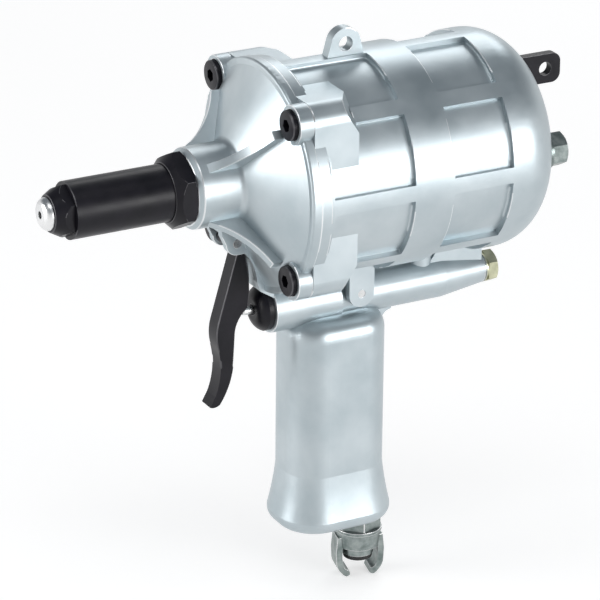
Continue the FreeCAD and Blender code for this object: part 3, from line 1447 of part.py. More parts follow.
def make_rear_hanger():
    """The black steel bracket on the barrel's end, its eye and the screw through its foot."""
    body = new_body("rear_hanger")
    half = S.hanger_width / 2
    low, high = S.hanger_height - half, S.hanger_height + half
    end = BARREL_BACK + S.hanger_reach
    corner = S.hanger_corner
    eye = new_sketch(body, "eye", "XZ_Plane")
    outline(eye, [
        (BARREL_BACK, low), (end - corner, low, corner), (end, low + corner), (end, high - corner, corner),
        (end - corner, high), (BARREL_BACK, high),
    ])
    pad(body, eye, S.hanger_thickness, symmetric=True)
    hole = new_sketch(body, "eye_hole", "XZ_Plane")
    ring(hole, BARREL_BACK + S.hanger_hole_place, S.hanger_height, S.hanger_hole_radius)
    pocket(body, hole, S.hanger_thickness + 2, symmetric=True)
    foot = new_sketch(body, "foot", "YZ_Plane", lift=BARREL_BACK)
    side = -S.hanger_thickness / 2
    outline(foot, [
        (side, low), (S.hanger_foot - 2, low), (S.hanger_foot - 2, S.hanger_height),
        (S.hanger_foot - 6, high),
        (side, high),
    ])
    pad(body, foot, S.hanger_thickness)
    screw_hole = new_sketch(body, "screw_hole", "YZ_Plane", lift=BARREL_BACK - 1)
    ring(screw_hole, S.hanger_screw_side, S.hanger_height, S.hanger_screw_radius + S.free_gap)
    pocket(body, screw_hole, S.hanger_thickness + 2)
    keep(body)
    seat = BARREL_BACK + S.hanger_thickness
    head = S.hanger_screw_head_length
    screw = turned("hanger_screw", [
        (-S.hanger_screw_length, 0), (head, 0), (head, S.hanger_screw_head_radius - 1.6),
        (0.8, S.hanger_screw_head_radius), (0, S.hanger_screw_head_radius), (0, S.hanger_screw_radius),
        (-S.hanger_screw_length, S.hanger_screw_radius),
    ], (seat, S.hanger_screw_side, S.hanger_height))
    socket = new_sketch(screw, "socket", "YZ_Plane", lift=head)
    hexagon(socket, S.screw_socket_flats - 1)
    pocket(screw, socket, head - 1, forward=False)
    keep(screw)


def make_breather():
    """The hexagonal breather plug in the end, which lets the rear cylinder breathe, and its sintered disc."""
    place = (0, -S.plug_side, -S.plug_drop)
    keep(hex_plug("breather_plug", place, BARREL_BACK, S.plug_flats, S.plug_head, S.plug_collar_radius,
                  S.plug_collar, S.plug_thread_radius, S.plug_thread, S.plug_bore_radius))
    end = BARREL_BACK + S.plug_collar + S.plug_head
    keep(solid_bar("breather_disc", end - 1 - S.breather_length, S.breather_length,
                   S.plug_bore_radius - S.press_gap, place))


make_nozzle()
make_nose_sleeve()
make_lock_nut()
make_front_housing()
make_rod_guides()
make_housing_screws()
make_barrel()
make_bulkhead()
make_piston_rod()
make_pistons()
make_return_spring()
make_jaw_housing()
make_jaws()
make_jaw_pusher()
make_trigger()
make_handle()
make_handle_pin()
make_transfer_tubes()
make_arm_plug()
make_valve()
make_inlet()
make_rear_hanger()
make_breather()

doc.recompute()
for item in doc.Objects:
    if "Invalid" in item.State or "Error" in item.State:
        raise RuntimeError(item.Label + " failed")
for part in parts:
    if part.Shape.isNull() or not part.Shape.isValid() or not part.Shape.Solids:
        raise RuntimeError(part.Label + " has no valid solid")

os.makedirs("parts", exist_ok=True)
for part in parts:
    part.Shape.exportStep("parts/%s.step" % part.Label)
print(len(parts), "parts written")
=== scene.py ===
# %% [markdown]
# A pneumatic riveter, dressed for its portrait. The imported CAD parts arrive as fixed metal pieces, all in
# metres and all in one frame: the nozzle's mouth is the origin, the barrel runs back along +X and the grip
# hangs down -Z. We give each part the finish that it has on a workbench: blasted castings, blackened steel,
# turned and plated bits.

import itertools
import json
import math

import bmesh
import bpy
from mathutils import Matrix, Vector
from mathutils.bvhtree import BVHTree
from mathutils.kdtree import KDTree
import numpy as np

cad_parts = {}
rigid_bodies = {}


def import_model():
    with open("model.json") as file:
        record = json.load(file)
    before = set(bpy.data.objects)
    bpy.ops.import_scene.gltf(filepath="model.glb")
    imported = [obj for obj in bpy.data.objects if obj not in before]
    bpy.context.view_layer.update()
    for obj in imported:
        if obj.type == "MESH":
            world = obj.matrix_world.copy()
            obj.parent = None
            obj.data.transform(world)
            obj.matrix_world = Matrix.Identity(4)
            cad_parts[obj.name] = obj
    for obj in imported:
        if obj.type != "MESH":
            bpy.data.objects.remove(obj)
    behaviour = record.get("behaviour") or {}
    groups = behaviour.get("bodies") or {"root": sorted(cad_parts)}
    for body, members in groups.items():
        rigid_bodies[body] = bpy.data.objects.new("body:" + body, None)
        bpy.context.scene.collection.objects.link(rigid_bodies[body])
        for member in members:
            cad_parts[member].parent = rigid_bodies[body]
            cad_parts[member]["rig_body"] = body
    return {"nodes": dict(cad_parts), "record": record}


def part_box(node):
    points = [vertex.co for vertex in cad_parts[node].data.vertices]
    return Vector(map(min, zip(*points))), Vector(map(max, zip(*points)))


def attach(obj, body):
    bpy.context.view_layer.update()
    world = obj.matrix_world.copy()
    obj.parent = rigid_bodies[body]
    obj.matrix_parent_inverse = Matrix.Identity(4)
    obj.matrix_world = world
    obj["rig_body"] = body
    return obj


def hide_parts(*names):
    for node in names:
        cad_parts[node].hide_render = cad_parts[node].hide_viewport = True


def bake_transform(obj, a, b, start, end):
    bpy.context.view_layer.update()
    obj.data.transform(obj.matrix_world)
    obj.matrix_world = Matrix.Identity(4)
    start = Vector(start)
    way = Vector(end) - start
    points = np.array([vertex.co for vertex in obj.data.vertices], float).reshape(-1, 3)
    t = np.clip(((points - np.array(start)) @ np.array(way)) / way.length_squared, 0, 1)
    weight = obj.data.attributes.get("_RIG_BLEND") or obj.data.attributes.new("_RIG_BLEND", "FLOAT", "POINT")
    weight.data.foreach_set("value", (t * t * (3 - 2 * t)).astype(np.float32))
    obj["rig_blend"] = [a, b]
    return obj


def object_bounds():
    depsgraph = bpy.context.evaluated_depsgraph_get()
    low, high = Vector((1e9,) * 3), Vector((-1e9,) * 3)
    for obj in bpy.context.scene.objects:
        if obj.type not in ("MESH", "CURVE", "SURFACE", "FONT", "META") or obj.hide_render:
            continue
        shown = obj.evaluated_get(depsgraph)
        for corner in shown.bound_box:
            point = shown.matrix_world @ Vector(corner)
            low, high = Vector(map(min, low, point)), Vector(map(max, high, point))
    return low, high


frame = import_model()
cad_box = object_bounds()
print("parts loaded:", len(frame["nodes"]))

# %% [markdown]
# The camera comes first, because every later choice is judged through it. The picture was taken from the
# front left and a little above, through a long lens. A long lens could be faked by an orthographic camera,
# but then the rear of the barrel would look too big, so we keep the real distance of 1.6 m and a lens of
# 228 mm.

# %% Place the camera
VIEW_AZIMUTH = math.radians(-28.204)
VIEW_ELEVATION = math.radians(22.968)
VIEW_ROLL = math.radians(0.573)
VIEW_DISTANCE = 1.62385
VIEW_TARGET = Vector((0.12078, 0.0, -0.060589))
SENSOR = 36.0
PICTURE_PIXELS = 600.0
FOCAL_PIXELS = 3795.0
LENS = SENSOR * FOCAL_PIXELS / PICTURE_PIXELS
FURTHEST_SEEN = 20.0

away = Vector((
    math.sin(VIEW_AZIMUTH) * math.cos(VIEW_ELEVATION),
    -math.cos(VIEW_AZIMUTH) * math.cos(VIEW_ELEVATION),
    math.sin(VIEW_ELEVATION),
))
level = (-away).cross(Vector((0.0, 0.0, 1.0))).normalized()
upright = level.cross(-away)
right = math.cos(VIEW_ROLL) * level + math.sin(VIEW_ROLL) * upright
up = -math.sin(VIEW_ROLL) * level + math.cos(VIEW_ROLL) * upright

lens = bpy.data.cameras.new("portrait_lens")
lens.sensor_width = SENSOR
lens.lens = LENS
lens.clip_end = FURTHEST_SEEN
camera = bpy.data.objects.new("portrait_camera", lens)
bpy.context.scene.collection.objects.link(camera)
place = VIEW_TARGET + away * VIEW_DISTANCE
camera.matrix_world = Matrix((
    (right.x, up.x, away.x, place.x),
    (right.y, up.y, away.y, place.y),
    (right.z, up.z, away.z, place.z),
    (0.0, 0.0, 0.0, 1.0),
))
bpy.context.scene.camera = camera
bpy.context.scene.view_settings.view_transform = "Standard"
print("camera at", [round(v, 3) for v in place])

# %% [markdown]
# Satin metal only looks like metal when it has something to reflect. The studio is white towards the
# horizon and dim overhead, so the top of the barrel stays darker. The broad bright band along the near side
# of the barrel is the mirror image of a wide, low lamp that stands to the right of the camera. A lamp above
# picks out the rims, one in front of the nose brightens the neck and its cone, and a weak one behind
# separates the rear from the white.

# %% Light the studio
LAMP_AIM = Vector((0.12, 0.0, -0.04))
LAMPS = {
    "lamp_beside_camera": ((0.84, -1.42, 0.16), (1.0, 0.55), 12.6),
    "lamp_over_barrel": ((-0.10, -0.45, 1.30), (1.1, 0.6), 5.0),
    "lamp_at_nose": ((-1.38, 0.42, 0.26), (0.9, 0.8), 13.0),
    "lamp_behind": ((0.95, 0.95, 0.9), (0.8, 0.6), 5.0),
}

for name, (spot, size, watts) in LAMPS.items():
    lamp = bpy.data.lights.new(name, "AREA")
    lamp.shape = "RECTANGLE"
    lamp.size, lamp.size_y = size
    lamp.energy = watts
    holder = bpy.data.objects.new(name, lamp)
    bpy.context.scene.collection.objects.link(holder)
    holder.location = spot
    aim = LAMP_AIM - Vector(spot)
    holder.rotation_euler = aim.to_track_quat("-Z", "Y").to_euler()


def add_node(tree, kind, **sockets):
    """Adds a shader node and sets the inputs that are named, with spaces written as underscores."""
    node = tree.nodes.new(kind)
    for key, value in sockets.items():
        node.inputs[key.replace("_", " ")].default_value = value
    return node


def seen_directly(tree):
    """A value of 1 where a camera, glossy or transmitted ray meets the surface, and 0 elsewhere."""
    path = tree.nodes.new("ShaderNodeLightPath")
    pair = tree.nodes.new("ShaderNodeMath")
    pair.operation = "MAXIMUM"
    tree.links.new(path.outputs["Is Camera Ray"], pair.inputs[0])
    tree.links.new(path.outputs["Is Glossy Ray"], pair.inputs[1])
    both = tree.nodes.new("ShaderNodeMath")
    both.operation = "MAXIMUM"
    tree.links.new(pair.outputs[0], both.inputs[0])
    tree.links.new(path.outputs["Is Transmission Ray"], both.inputs[1])
    return both.outputs[0]


WHITE_UP_TO, DIM_ABOVE = 0.04, 0.50
CEILING_TONE = (0.16, 0.18, 0.20, 1.0)
AMBIENT_TONE = (0.93, 0.96, 1.0, 1.0)
AMBIENT_STRENGTH = 0.22

world = bpy.data.worlds.new("white_studio")
bpy.context.scene.world = world
world.use_nodes = True
sky = world.node_tree
sky.nodes.clear()
direction = sky.nodes.new("ShaderNodeTexCoord")
height = sky.nodes.new("ShaderNodeSeparateXYZ")
sky.links.new(direction.outputs["Generated"], height.inputs[0])
ceiling = sky.nodes.new("ShaderNodeValToRGB")
ceiling.color_ramp.elements[0].position = WHITE_UP_TO
ceiling.color_ramp.elements[0].color = (1.0, 1.0, 1.0, 1.0)
ceiling.color_ramp.elements[1].position = DIM_ABOVE
ceiling.color_ramp.elements[1].color = CEILING_TONE
sky.links.new(height.outputs["Z"], ceiling.inputs[0])
backdrop = add_node(sky, "ShaderNodeBackground", Strength=1.0)
sky.links.new(ceiling.outputs[0], backdrop.inputs["Color"])
ambient = add_node(sky, "ShaderNodeBackground", Color=AMBIENT_TONE, Strength=AMBIENT_STRENGTH)
choice = sky.nodes.new("ShaderNodeMixShader")
sky.links.new(seen_directly(sky), choice.inputs[0])
sky.links.new(ambient.outputs[0], choice.inputs[1])
sky.links.new(backdrop.outputs[0], choice.inputs[2])
world_output = sky.nodes.new("ShaderNodeOutputWorld")
sky.links.new(choice.outputs[0], world_output.inputs["Surface"])
print("lamps:", len(LAMPS))

# %% [markdown]
# The riveter stands on a pale sheet. The sheet is a little brighter to the eye than its own light makes it,
# so it reads as the white of the picture and still keeps the soft shadow under the tool. Far from the lamps
# it would turn grey, and a low camera would see that as a band behind the tool, so what the camera sees
# glows more with distance. The metal still mirrors the plain sheet.

# %% Lay the pale sheet
FLOOR_HEIGHT = cad_box[0][2]
SHEET_RADIUS = 6.0
SHEET_TONE = 0.60
SHEET_GLOW = 0.585
FAR_GLOW = 0.27
FADE_START, FADE_END = 0.5, 3.2

bpy.ops.object.select_all(action="DESELECT")
bpy.ops.mesh.primitive_circle_add(
    vertices=96, radius=SHEET_RADIUS, fill_type="NGON", location=(LAMP_AIM.x, 0.0, FLOOR_HEIGHT),
)
sheet = bpy.context.object
sheet.name = "pale_sheet"
paper = bpy.data.materials.new("pale_paper")
paper.use_nodes = True
tree = paper.node_tree
tree.nodes.clear()
matte = add_node(tree, "ShaderNodeBsdfDiffuse", Color=(SHEET_TONE, SHEET_TONE, SHEET_TONE, 1.0))
glow = add_node(tree, "ShaderNodeEmission", Color=(1.0, 1.0, 1.0, 1.0))
spot = tree.nodes.new("ShaderNodeTexCoord")
distance = tree.nodes.new("ShaderNodeVectorMath")
distance.operation = "LENGTH"
tree.links.new(spot.outputs["Object"], distance.inputs[0])
fade = add_node(
    tree, "ShaderNodeMapRange", From_Min=FADE_START, From_Max=FADE_END, To_Min=0.0, To_Max=FAR_GLOW,
)
fade.interpolation_type = "SMOOTHSTEP"
tree.links.new(distance.outputs["Value"], fade.inputs["Value"])
path = tree.nodes.new("ShaderNodeLightPath")
extra = tree.nodes.new("ShaderNodeMath")
extra.operation = "MULTIPLY"
tree.links.new(path.outputs["Is Camera Ray"], extra.inputs[0])
tree.links.new(fade.outputs[0], extra.inputs[1])
amount = tree.nodes.new("ShaderNodeMath")
amount.operation = "MULTIPLY_ADD"
amount.inputs[1].default_value = SHEET_GLOW
tree.links.new(seen_directly(tree), amount.inputs[0])
tree.links.new(extra.outputs[0], amount.inputs[2])
tree.links.new(amount.outputs[0], glow.inputs["Strength"])
total = tree.nodes.new("ShaderNodeAddShader")
tree.links.new(matte.outputs[0], total.inputs[0])
tree.links.new(glow.outputs[0], total.inputs[1])
out = tree.nodes.new("ShaderNodeOutputMaterial")
tree.links.new(total.outputs[0], out.inputs["Surface"])
sheet.data.materials.append(paper)
print("sheet at height", round(FLOOR_HEIGHT, 4))

# %% [markdown]
# Most finishes here are one recipe with different numbers: a base colour that drifts a little over the
# surface, a roughness that drifts with it, and a fine bump for the grain. A photograph of metal could be
# wrapped round instead, but noise read in object coordinates has no seams and stays at its real size on
# every piece.

# %% A recipe for a metal finish
TINT_FROM, TINT_TO = 0.32, 0.68
SHINE_FROM, SHINE_TO = 0.3, 0.7
SMOOTHER, ROUGHER = 0.05, 0.07
GRAIN_DEPTH = 0.00004


def metal(name, dark, light, metallic, rough, grain=0.0006, bump=0.1, patch=0.02, gloss=0.5):
    """A finish whose colour drifts from dark to light over patches, with a grain of that size in metres."""
    material = bpy.data.materials.new(name)
    material.use_nodes = True
    nodes = material.node_tree
    shader = nodes.nodes["Principled BSDF"]
    shader.inputs["Metallic"].default_value = metallic
    shader.inputs["Specular IOR Level"].default_value = gloss
    where = nodes.nodes.new("ShaderNodeTexCoord")
    drift = add_node(nodes, "ShaderNodeTexNoise", Scale=1.0 / patch, Detail=4.0, Roughness=0.6)
    nodes.links.new(where.outputs["Object"], drift.inputs["Vector"])
    tint = nodes.nodes.new("ShaderNodeValToRGB")
    tint.color_ramp.elements[0].position = TINT_FROM
    tint.color_ramp.elements[0].color = (*dark, 1.0)
    tint.color_ramp.elements[1].position = TINT_TO
    tint.color_ramp.elements[1].color = (*light, 1.0)
    nodes.links.new(drift.outputs["Fac"], tint.inputs[0])
    nodes.links.new(tint.outputs[0], shader.inputs["Base Color"])
    fine = add_node(nodes, "ShaderNodeTexNoise", Scale=1.0 / grain, Detail=3.0, Roughness=0.55)
    nodes.links.new(where.outputs["Object"], fine.inputs["Vector"])
    shine = nodes.nodes.new("ShaderNodeMapRange")
    shine.inputs["From Min"].default_value = SHINE_FROM
    shine.inputs["From Max"].default_value = SHINE_TO
    shine.inputs["To Min"].default_value = rough - SMOOTHER
    shine.inputs["To Max"].default_value = rough + ROUGHER
    nodes.links.new(drift.outputs["Fac"], shine.inputs["Value"])
    nodes.links.new(shine.outputs[0], shader.inputs["Roughness"])
    dents = add_node(nodes, "ShaderNodeBump", Strength=bump, Distance=GRAIN_DEPTH)
    nodes.links.new(fine.outputs["Fac"], dents.inputs["Height"])
    nodes.links.new(dents.outputs[0], shader.inputs["Normal"])
    return material


CAST = metal(
    "blasted_aluminium", dark=(0.42, 0.485, 0.515), light=(0.53, 0.585, 0.61), metallic=0.85, rough=0.38,
    grain=0.0005, bump=0.40, patch=0.03,
)
# The edge finish is painted much lighter than the casting: a painted highlight on the outer rounds.
CAST_EDGE = metal(
    "rubbed_aluminium_edge", dark=(0.72, 0.75, 0.77), light=(0.84, 0.86, 0.87), metallic=0.85, rough=0.32,
    bump=0.15,
)
TURNED = metal(
    "turned_aluminium", dark=(0.70, 0.71, 0.72), light=(0.80, 0.80, 0.80), metallic=1.0, rough=0.30,
    grain=0.0008, patch=0.03,
)
BLACK = metal(
    "black_oxide_steel", dark=(0.005, 0.005, 0.008), light=(0.011, 0.010, 0.015), metallic=0.0, rough=0.35,
    grain=0.0007, bump=0.15, patch=0.012, gloss=0.24,
)
# The edge finish is painted lighter than the black: a painted highlight on the rounded edges.
BLACK_EDGE = metal(
    "rubbed_black_edge", dark=(0.070, 0.070, 0.076), light=(0.130, 0.128, 0.136), metallic=0.6, rough=0.34,
    grain=0.0007, patch=0.008, gloss=0.4,
)
BRIGHT = metal(
    "ground_steel", dark=(0.62, 0.63, 0.64), light=(0.78, 0.78, 0.77), metallic=1.0, rough=0.24,
    bump=0.08, patch=0.01,
)
SPRING = metal(
    "spring_wire", dark=(0.30, 0.31, 0.33), light=(0.42, 0.42, 0.43), metallic=1.0, rough=0.3,
    grain=0.0005, bump=0.08, patch=0.01,
)
ZINC = metal(
    "dull_zinc", dark=(0.15, 0.185, 0.18), light=(0.36, 0.40, 0.39), metallic=0.85, rough=0.34,
    bump=0.2, patch=0.005,
)
BRASS = metal(
    "dull_brass", dark=(0.40, 0.41, 0.28), light=(0.62, 0.61, 0.44), metallic=0.9, rough=0.34,
    bump=0.12, patch=0.006,
)
BRONZE = metal(
    "bearing_bronze", dark=(0.46, 0.30, 0.15), light=(0.62, 0.42, 0.22), metallic=1.0, rough=0.34,
    patch=0.01,
)
RUBBER = metal(
    "seal_rubber", dark=(0.012, 0.012, 0.012), light=(0.024, 0.024, 0.024), metallic=0.0, rough=0.6,
    grain=0.0004, bump=0.2, patch=0.01,
)
print("finishes:", len(bpy.data.materials))

# %% [markdown]
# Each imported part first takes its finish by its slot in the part's record. Parts that need no better shape,
# such as the seals and pistons inside, are finished with this alone.

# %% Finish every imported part
SLOT_FINISH = {
    "cast_aluminium": CAST,
    "turned_aluminium": TURNED,
    "black_steel": BLACK,
    "bright_steel": BRIGHT,
    "spring_steel": SPRING,
    "zinc_steel": ZINC,
    "brass": BRASS,
    "bronze": BRONZE,
    "rubber": RUBBER,
}

slot_of = {entry["node"]: entry["material_slot"] for entry in frame["record"]["subparts"]}
for part, node in frame["nodes"].items():
    for holder in node.material_slots:
        holder.material = SLOT_FINISH[slot_of[part]]
print("finished parts:", len(slot_of))


# %% [markdown]
# A casting has no knife edges: the mould rounds each one, and here the outer rounds are painted lighter
# than the faces as a painted highlight. The imported meshes are exact but sharp. They could be remeshed and
# smoothed, which softens everything alike, or bevelled edge by edge. We bevel a copy of each part, and the
# next cells build the helpers for that, one small step at a time. An operator works on whatever is
# selected, so the first helpers take care of the selection.

# %% Helpers that select one piece and apply a modifier
def deselect():
    """Leaves nothing selected, so that an operator acts only on the piece in hand."""
    if bpy.context.object and bpy.context.object.mode != "OBJECT":
        bpy.ops.object.mode_set(mode="OBJECT")
    bpy.ops.object.select_all(action="DESELECT")


def take(piece):
    """Makes one piece the selected and active one."""
    deselect()
    piece.select_set(True)
    bpy.context.view_layer.objects.active = piece


def apply(piece, kind, **settings):
    """Adds a modifier with these settings and applies it."""
    modifier = piece.modifiers.new(kind.lower(), kind)
    for key, value in settings.items():
        setattr(modifier, key, value)
    take(piece)
    bpy.ops.object.modifier_apply(modifier=modifier.name)


# %% [markdown]
# A bevel needs room. Beside a narrow face, or close to a hole, one that is too wide folds over its
# neighbour. So we measure the clear width beside each sharp edge. A round rim is made of many short edges
# that are no obstacle to each other, so edges that follow on smoothly are first counted as one run.

# %% Helpers that measure the room beside an edge
FOLLOWS_ON = 0.6
NO_LENGTH = 1e-18


def gap_to(point, edge):
    """The distance from a point to an edge."""
    start, along = edge.verts[0].co, edge.verts[1].co - edge.verts[0].co
    share = max(0.0, min(1.0, (point - start).dot(along) / max(along.length_squared, NO_LENGTH)))
    return (point - start - along * share).length


def runs_of(sharp):
    """Numbers the smooth runs that the sharp edges form, so that a circle or a bent rim counts as one."""
    run = {}
    for first in sharp:
        if first in run:
            continue
        number = len(run)
        waiting = [first]
        while waiting:
            edge = waiting.pop()
            if edge in run:
                continue
            run[edge] = number
            along = (edge.verts[1].co - edge.verts[0].co).normalized()
            for vert in edge.verts:
                for other in vert.link_edges:
                    if other in sharp and other not in run:
                        across = (other.verts[1].co - other.verts[0].co).normalized().cross(along).length
                        if across < FOLLOWS_ON:
                            waiting.append(other)
    return run


def room_beside(edge, run):
    """The clear width beside a sharp edge on its two faces, up to any edge that isn't of its own run."""
    room = math.inf
    for face in edge.link_faces:
        for other in face.edges:
            if other is edge or run.get(other, -1) == run[edge]:
                continue
            gaps = [gap_to(v.co, other) for v in edge.verts if v not in other.verts]
            gaps += [gap_to(v.co, edge) for v in other.verts if v not in edge.verts]
            room = min([room] + gaps)
    return room


# %% [markdown]
# The Bevel modifier can read a weight from each edge. We write 1 where the full width fits, less where it
# is tight, and 0 on edges that stay sharp. Flat faces are then cut into well-shaped triangles, because a
# large face with a hole in it tears when its border moves.

# %% Helpers that weigh the edges and bevel them
ROOM_SHARE = 0.4
LEAST_WEIGHT = 0.1
SHARP_TURN = 28.0


def weigh_edges(piece, width, turn, inner, spoilt):
    """Gives each outer edge, or each inner corner, that turns by more than this a bevel weight that fits."""
    mesh = bmesh.new()
    mesh.from_mesh(piece.data)
    layers = mesh.edges.layers.float
    layer = layers.get("bevel_weight_edge") or layers.new("bevel_weight_edge")
    side = -1.0 if inner else 1.0
    sharp = [e for e in mesh.edges if len(e.link_faces) == 2 and side * e.calc_face_angle_signed(0.0) > turn]
    run = runs_of(dict.fromkeys(sharp))
    weight = {edge: min(1.0, ROOM_SHARE * room_beside(edge, run) / width) for edge in sharp}
    tree = KDTree(max(1, len(spoilt)))
    for index, (spot, reach) in enumerate(spoilt):
        tree.insert(spot, index)
    tree.balance()
    furthest = max((reach for spot, reach in spoilt), default=0.0)
    for edge in mesh.edges:
        edge[layer] = 0.0
    for edge in sharp:
        near = min(weight[e] for v in edge.verts for e in v.link_edges if e in weight)
        middle = (edge.verts[0].co + edge.verts[1].co) / 2.0
        for spot, index, gap in tree.find_range(middle, furthest + edge.calc_length() / 2.0):
            if gap_to(spot, edge) < spoilt[index][1]:
                near = 0.0
        edge[layer] = near if near > LEAST_WEIGHT else 0.0
    mesh.to_mesh(piece.data)
    mesh.free()
    return len(sharp)


def round_off(piece, width, inner, finish, spoilt, steps=2, turn=SHARP_TURN):
    """Bevels the outer edges or the inner corners of a piece, and puts a finish on what the bevel makes."""
    found = weigh_edges(piece, width, math.radians(turn), inner, spoilt)
    if found:
        take(piece)
        bpy.ops.object.mode_set(mode="EDIT")
        bpy.ops.mesh.select_all(action="SELECT")
        bpy.ops.mesh.quads_convert_to_tris(quad_method="BEAUTY", ngon_method="BEAUTY")
        bpy.ops.object.mode_set(mode="OBJECT")
        apply(
            piece, "BEVEL", width=width, segments=steps, limit_method="WEIGHT", use_clamp_overlap=False,
            loop_slide=False, material=finish, miter_outer="MITER_ARC",
        )
    return found


# %% [markdown]
# A bevel can still fold over itself where three odd edges meet. Such spots could be hunted down by eye, but
# a part with hundreds of edges hides them well. So every bevelled copy is held against the exact part: a
# face that looks the wrong way, or a point that has left the old surface by more than the bevel's width,
# marks a spoilt spot. The edges there stay sharp in the next try.

# %% A helper that finds where a bevel went wrong
LEAST_AREA = 1e-11
LEAST_AGREEMENT = 0.55
LEAST_FLATNESS = 0.3
NEAR_WIDTHS = 1.6
SPOILT_WIDTHS = 1.2


def spoilt_spots(piece, exact, width):
    """The places where the piece's faces are folded or stand off the exact surface."""
    mesh = piece.data
    mesh.calc_loop_triangles()
    spots = []
    for triangle in mesh.loop_triangles:
        if triangle.area < LEAST_AREA:
            continue
        middle = sum((mesh.vertices[v].co for v in triangle.vertices), Vector()) / 3.0
        face = mesh.polygons[triangle.polygon_index]
        near = exact.find_nearest_range(middle, NEAR_WIDTHS * width)
        agrees = max((triangle.normal.dot(hit[1]) for hit in near), default=-1.0)
        if agrees < LEAST_AGREEMENT or triangle.normal.dot(face.normal) < LEAST_FLATNESS:
            spots.append((middle, SPOILT_WIDTHS * width + math.sqrt(triangle.area)))
    return spots


# %% [markdown]
# Blender guesses how a mesh is shaded from its faces, and long thin faces on a cone then show as streaks.
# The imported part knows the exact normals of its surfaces. We look each corner of the copy up among the
# corners of the part that lie close by and on the same face, and shade it in the same direction.

# %% A helper that borrows the exact shading
SAME_FACE = 0.999


def borrow_normals(piece, source, reach):
    """Shades the faces between the bevels as the exact part is shaded, so that round faces stay smooth."""
    exact = source.data
    normals = [corner.vector.copy() for corner in exact.corner_normals]
    flat = [None] * len(normals)
    tree = KDTree(len(normals))
    for face in exact.polygons:
        for loop in face.loop_indices:
            flat[loop] = face.normal.copy()
            tree.insert(exact.vertices[exact.loops[loop].vertex_index].co, loop)
    tree.balance()
    dressed = piece.data
    shade = [corner.vector.copy() for corner in dressed.corner_normals]
    known = {}
    for face in dressed.polygons:
        if face.material_index:
            continue
        for loop in face.loop_indices:
            vertex = dressed.loops[loop].vertex_index
            best = None
            for spot, index, gap in tree.find_range(dressed.vertices[vertex].co, reach):
                if flat[index].dot(face.normal) > SAME_FACE and (best is None or gap < best[0]):
                    best = (gap, index)
            if best:
                shade[loop] = normals[best[1]]
                known.setdefault(vertex, []).append(shade[loop])
    for face in dressed.polygons:
        if face.material_index:
            for loop in face.loop_indices:
                choices = known.get(dressed.loops[loop].vertex_index)
                if choices:
                    shade[loop] = max(choices, key=face.normal.dot)
    dressed.normals_split_custom_set(shade)


# %% [markdown]
# Now the steps come together: copy, join the loose triangles, fill the inner corners, round the outer
# edges, inspect, and if need be start again with the spoilt edges left sharp. The copy rides on the same
# body as the part and stands for it.

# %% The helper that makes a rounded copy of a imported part
WELD_DISTANCE = 0.000002
FLAT_ANGLE = math.radians(0.3)
SMOOTH_ANGLE = math.radians(38.0)
TRIES = 4
REACH_GROWTH = 0.6
SHADING_WIDTHS = 2.5


def merged_copy(part, finishes):
    """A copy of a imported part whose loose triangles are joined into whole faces."""
    piece = bpy.data.objects.new(part + "_dressed", frame["nodes"][part].data.copy())
    bpy.context.scene.collection.objects.link(piece)
    take(piece)
    bpy.ops.mesh.customdata_custom_splitnormals_clear()
    bpy.ops.object.mode_set(mode="EDIT")
    bpy.ops.mesh.select_all(action="SELECT")
    bpy.ops.mesh.remove_doubles(threshold=WELD_DISTANCE)
    bpy.ops.mesh.dissolve_limited(angle_limit=FLAT_ANGLE)
    bpy.ops.object.mode_set(mode="OBJECT")
    piece.data.materials.clear()
    for finish in finishes:
        piece.data.materials.append(finish)
    return piece


def rounded_copy(part, finishes, width, fillet=0.0):
    """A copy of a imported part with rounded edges; the second finish goes on the rounded edges."""
    source = frame["nodes"][part]
    points = [vertex.co for vertex in source.data.vertices]
    exact = BVHTree.FromPolygons(points, [face.vertices for face in source.data.polygons])
    spoilt = []
    for attempt in range(TRIES):
        piece = merged_copy(part, finishes)
        if fillet:
            round_off(piece, fillet, True, 0, spoilt, 3)
        edges = round_off(piece, width, False, len(finishes) - 1, spoilt)
        wrong = spoilt_spots(piece, exact, max(width, fillet))
        if not wrong or attempt == TRIES - 1:
            break
        spoilt += [(spot, reach * (1.0 + REACH_GROWTH * attempt)) for spot, reach in wrong]
        bpy.data.meshes.remove(piece.data)
    take(piece)
    bpy.ops.object.shade_smooth_by_angle(angle=SMOOTH_ANGLE)
    apply(piece, "WEIGHTED_NORMAL", mode="FACE_AREA", weight=50, keep_sharp=True)
    borrow_normals(piece, source, SHADING_WIDTHS * max(width, fillet))
    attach(piece, source["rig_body"])
    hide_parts(part)
    faces = len(piece.data.polygons)
    print(part, "edges:", edges, "faces:", faces, "tries:", attempt + 1, "left:", len(wrong))
    return piece


# %% [markdown]
# The front cover, the barrel and the handle are sand-blasted aluminium castings. Metal that shrinks as it
# cools wants soft inner corners, so these get a fillet of a good millimetre in every corner and a smaller
# round on the outer edges. The outer round takes a lighter colour than the faces, a painted highlight for
# the bright lines that light draws along the edges.

# %% Round the castings
CAST_ROUND = 0.00045
CAST_FILLET = 0.0012

for casting in ("front_housing", "barrel", "handle"):
    rounded_copy(casting, (CAST, CAST_EDGE), CAST_ROUND, CAST_FILLET)

# %% [markdown]
# The nose sleeve, its lock nut, the trigger, the rear eye and the valve cap are machined or forged from
# steel and blackened. Their edges are broken with a file, not moulded, so they get one narrow round, and
# that round is painted a lighter grey as a painted highlight, a thin grey line along each edge.

# %% Round the blackened parts
BLACK_PARTS = {
    "nose_sleeve": 0.0004,
    "sleeve_lock_nut": 0.0005,
    "trigger": 0.0009,
    "rear_hanger": 0.0006,
    "valve_cap": 0.0003,
}

for part, width in BLACK_PARTS.items():
    rounded_copy(part, (BLACK, BLACK_EDGE), width)

# %% [markdown]
# Four socket screws hold the front cover. The real ones are forged, knurled round the head so that oily
# fingers can turn them, and blackened. The knurl could be a bump in the material, but it shows against the
# light at the rim, so we cut it. One screw is modelled along the X axis and then copied to the four lugs.

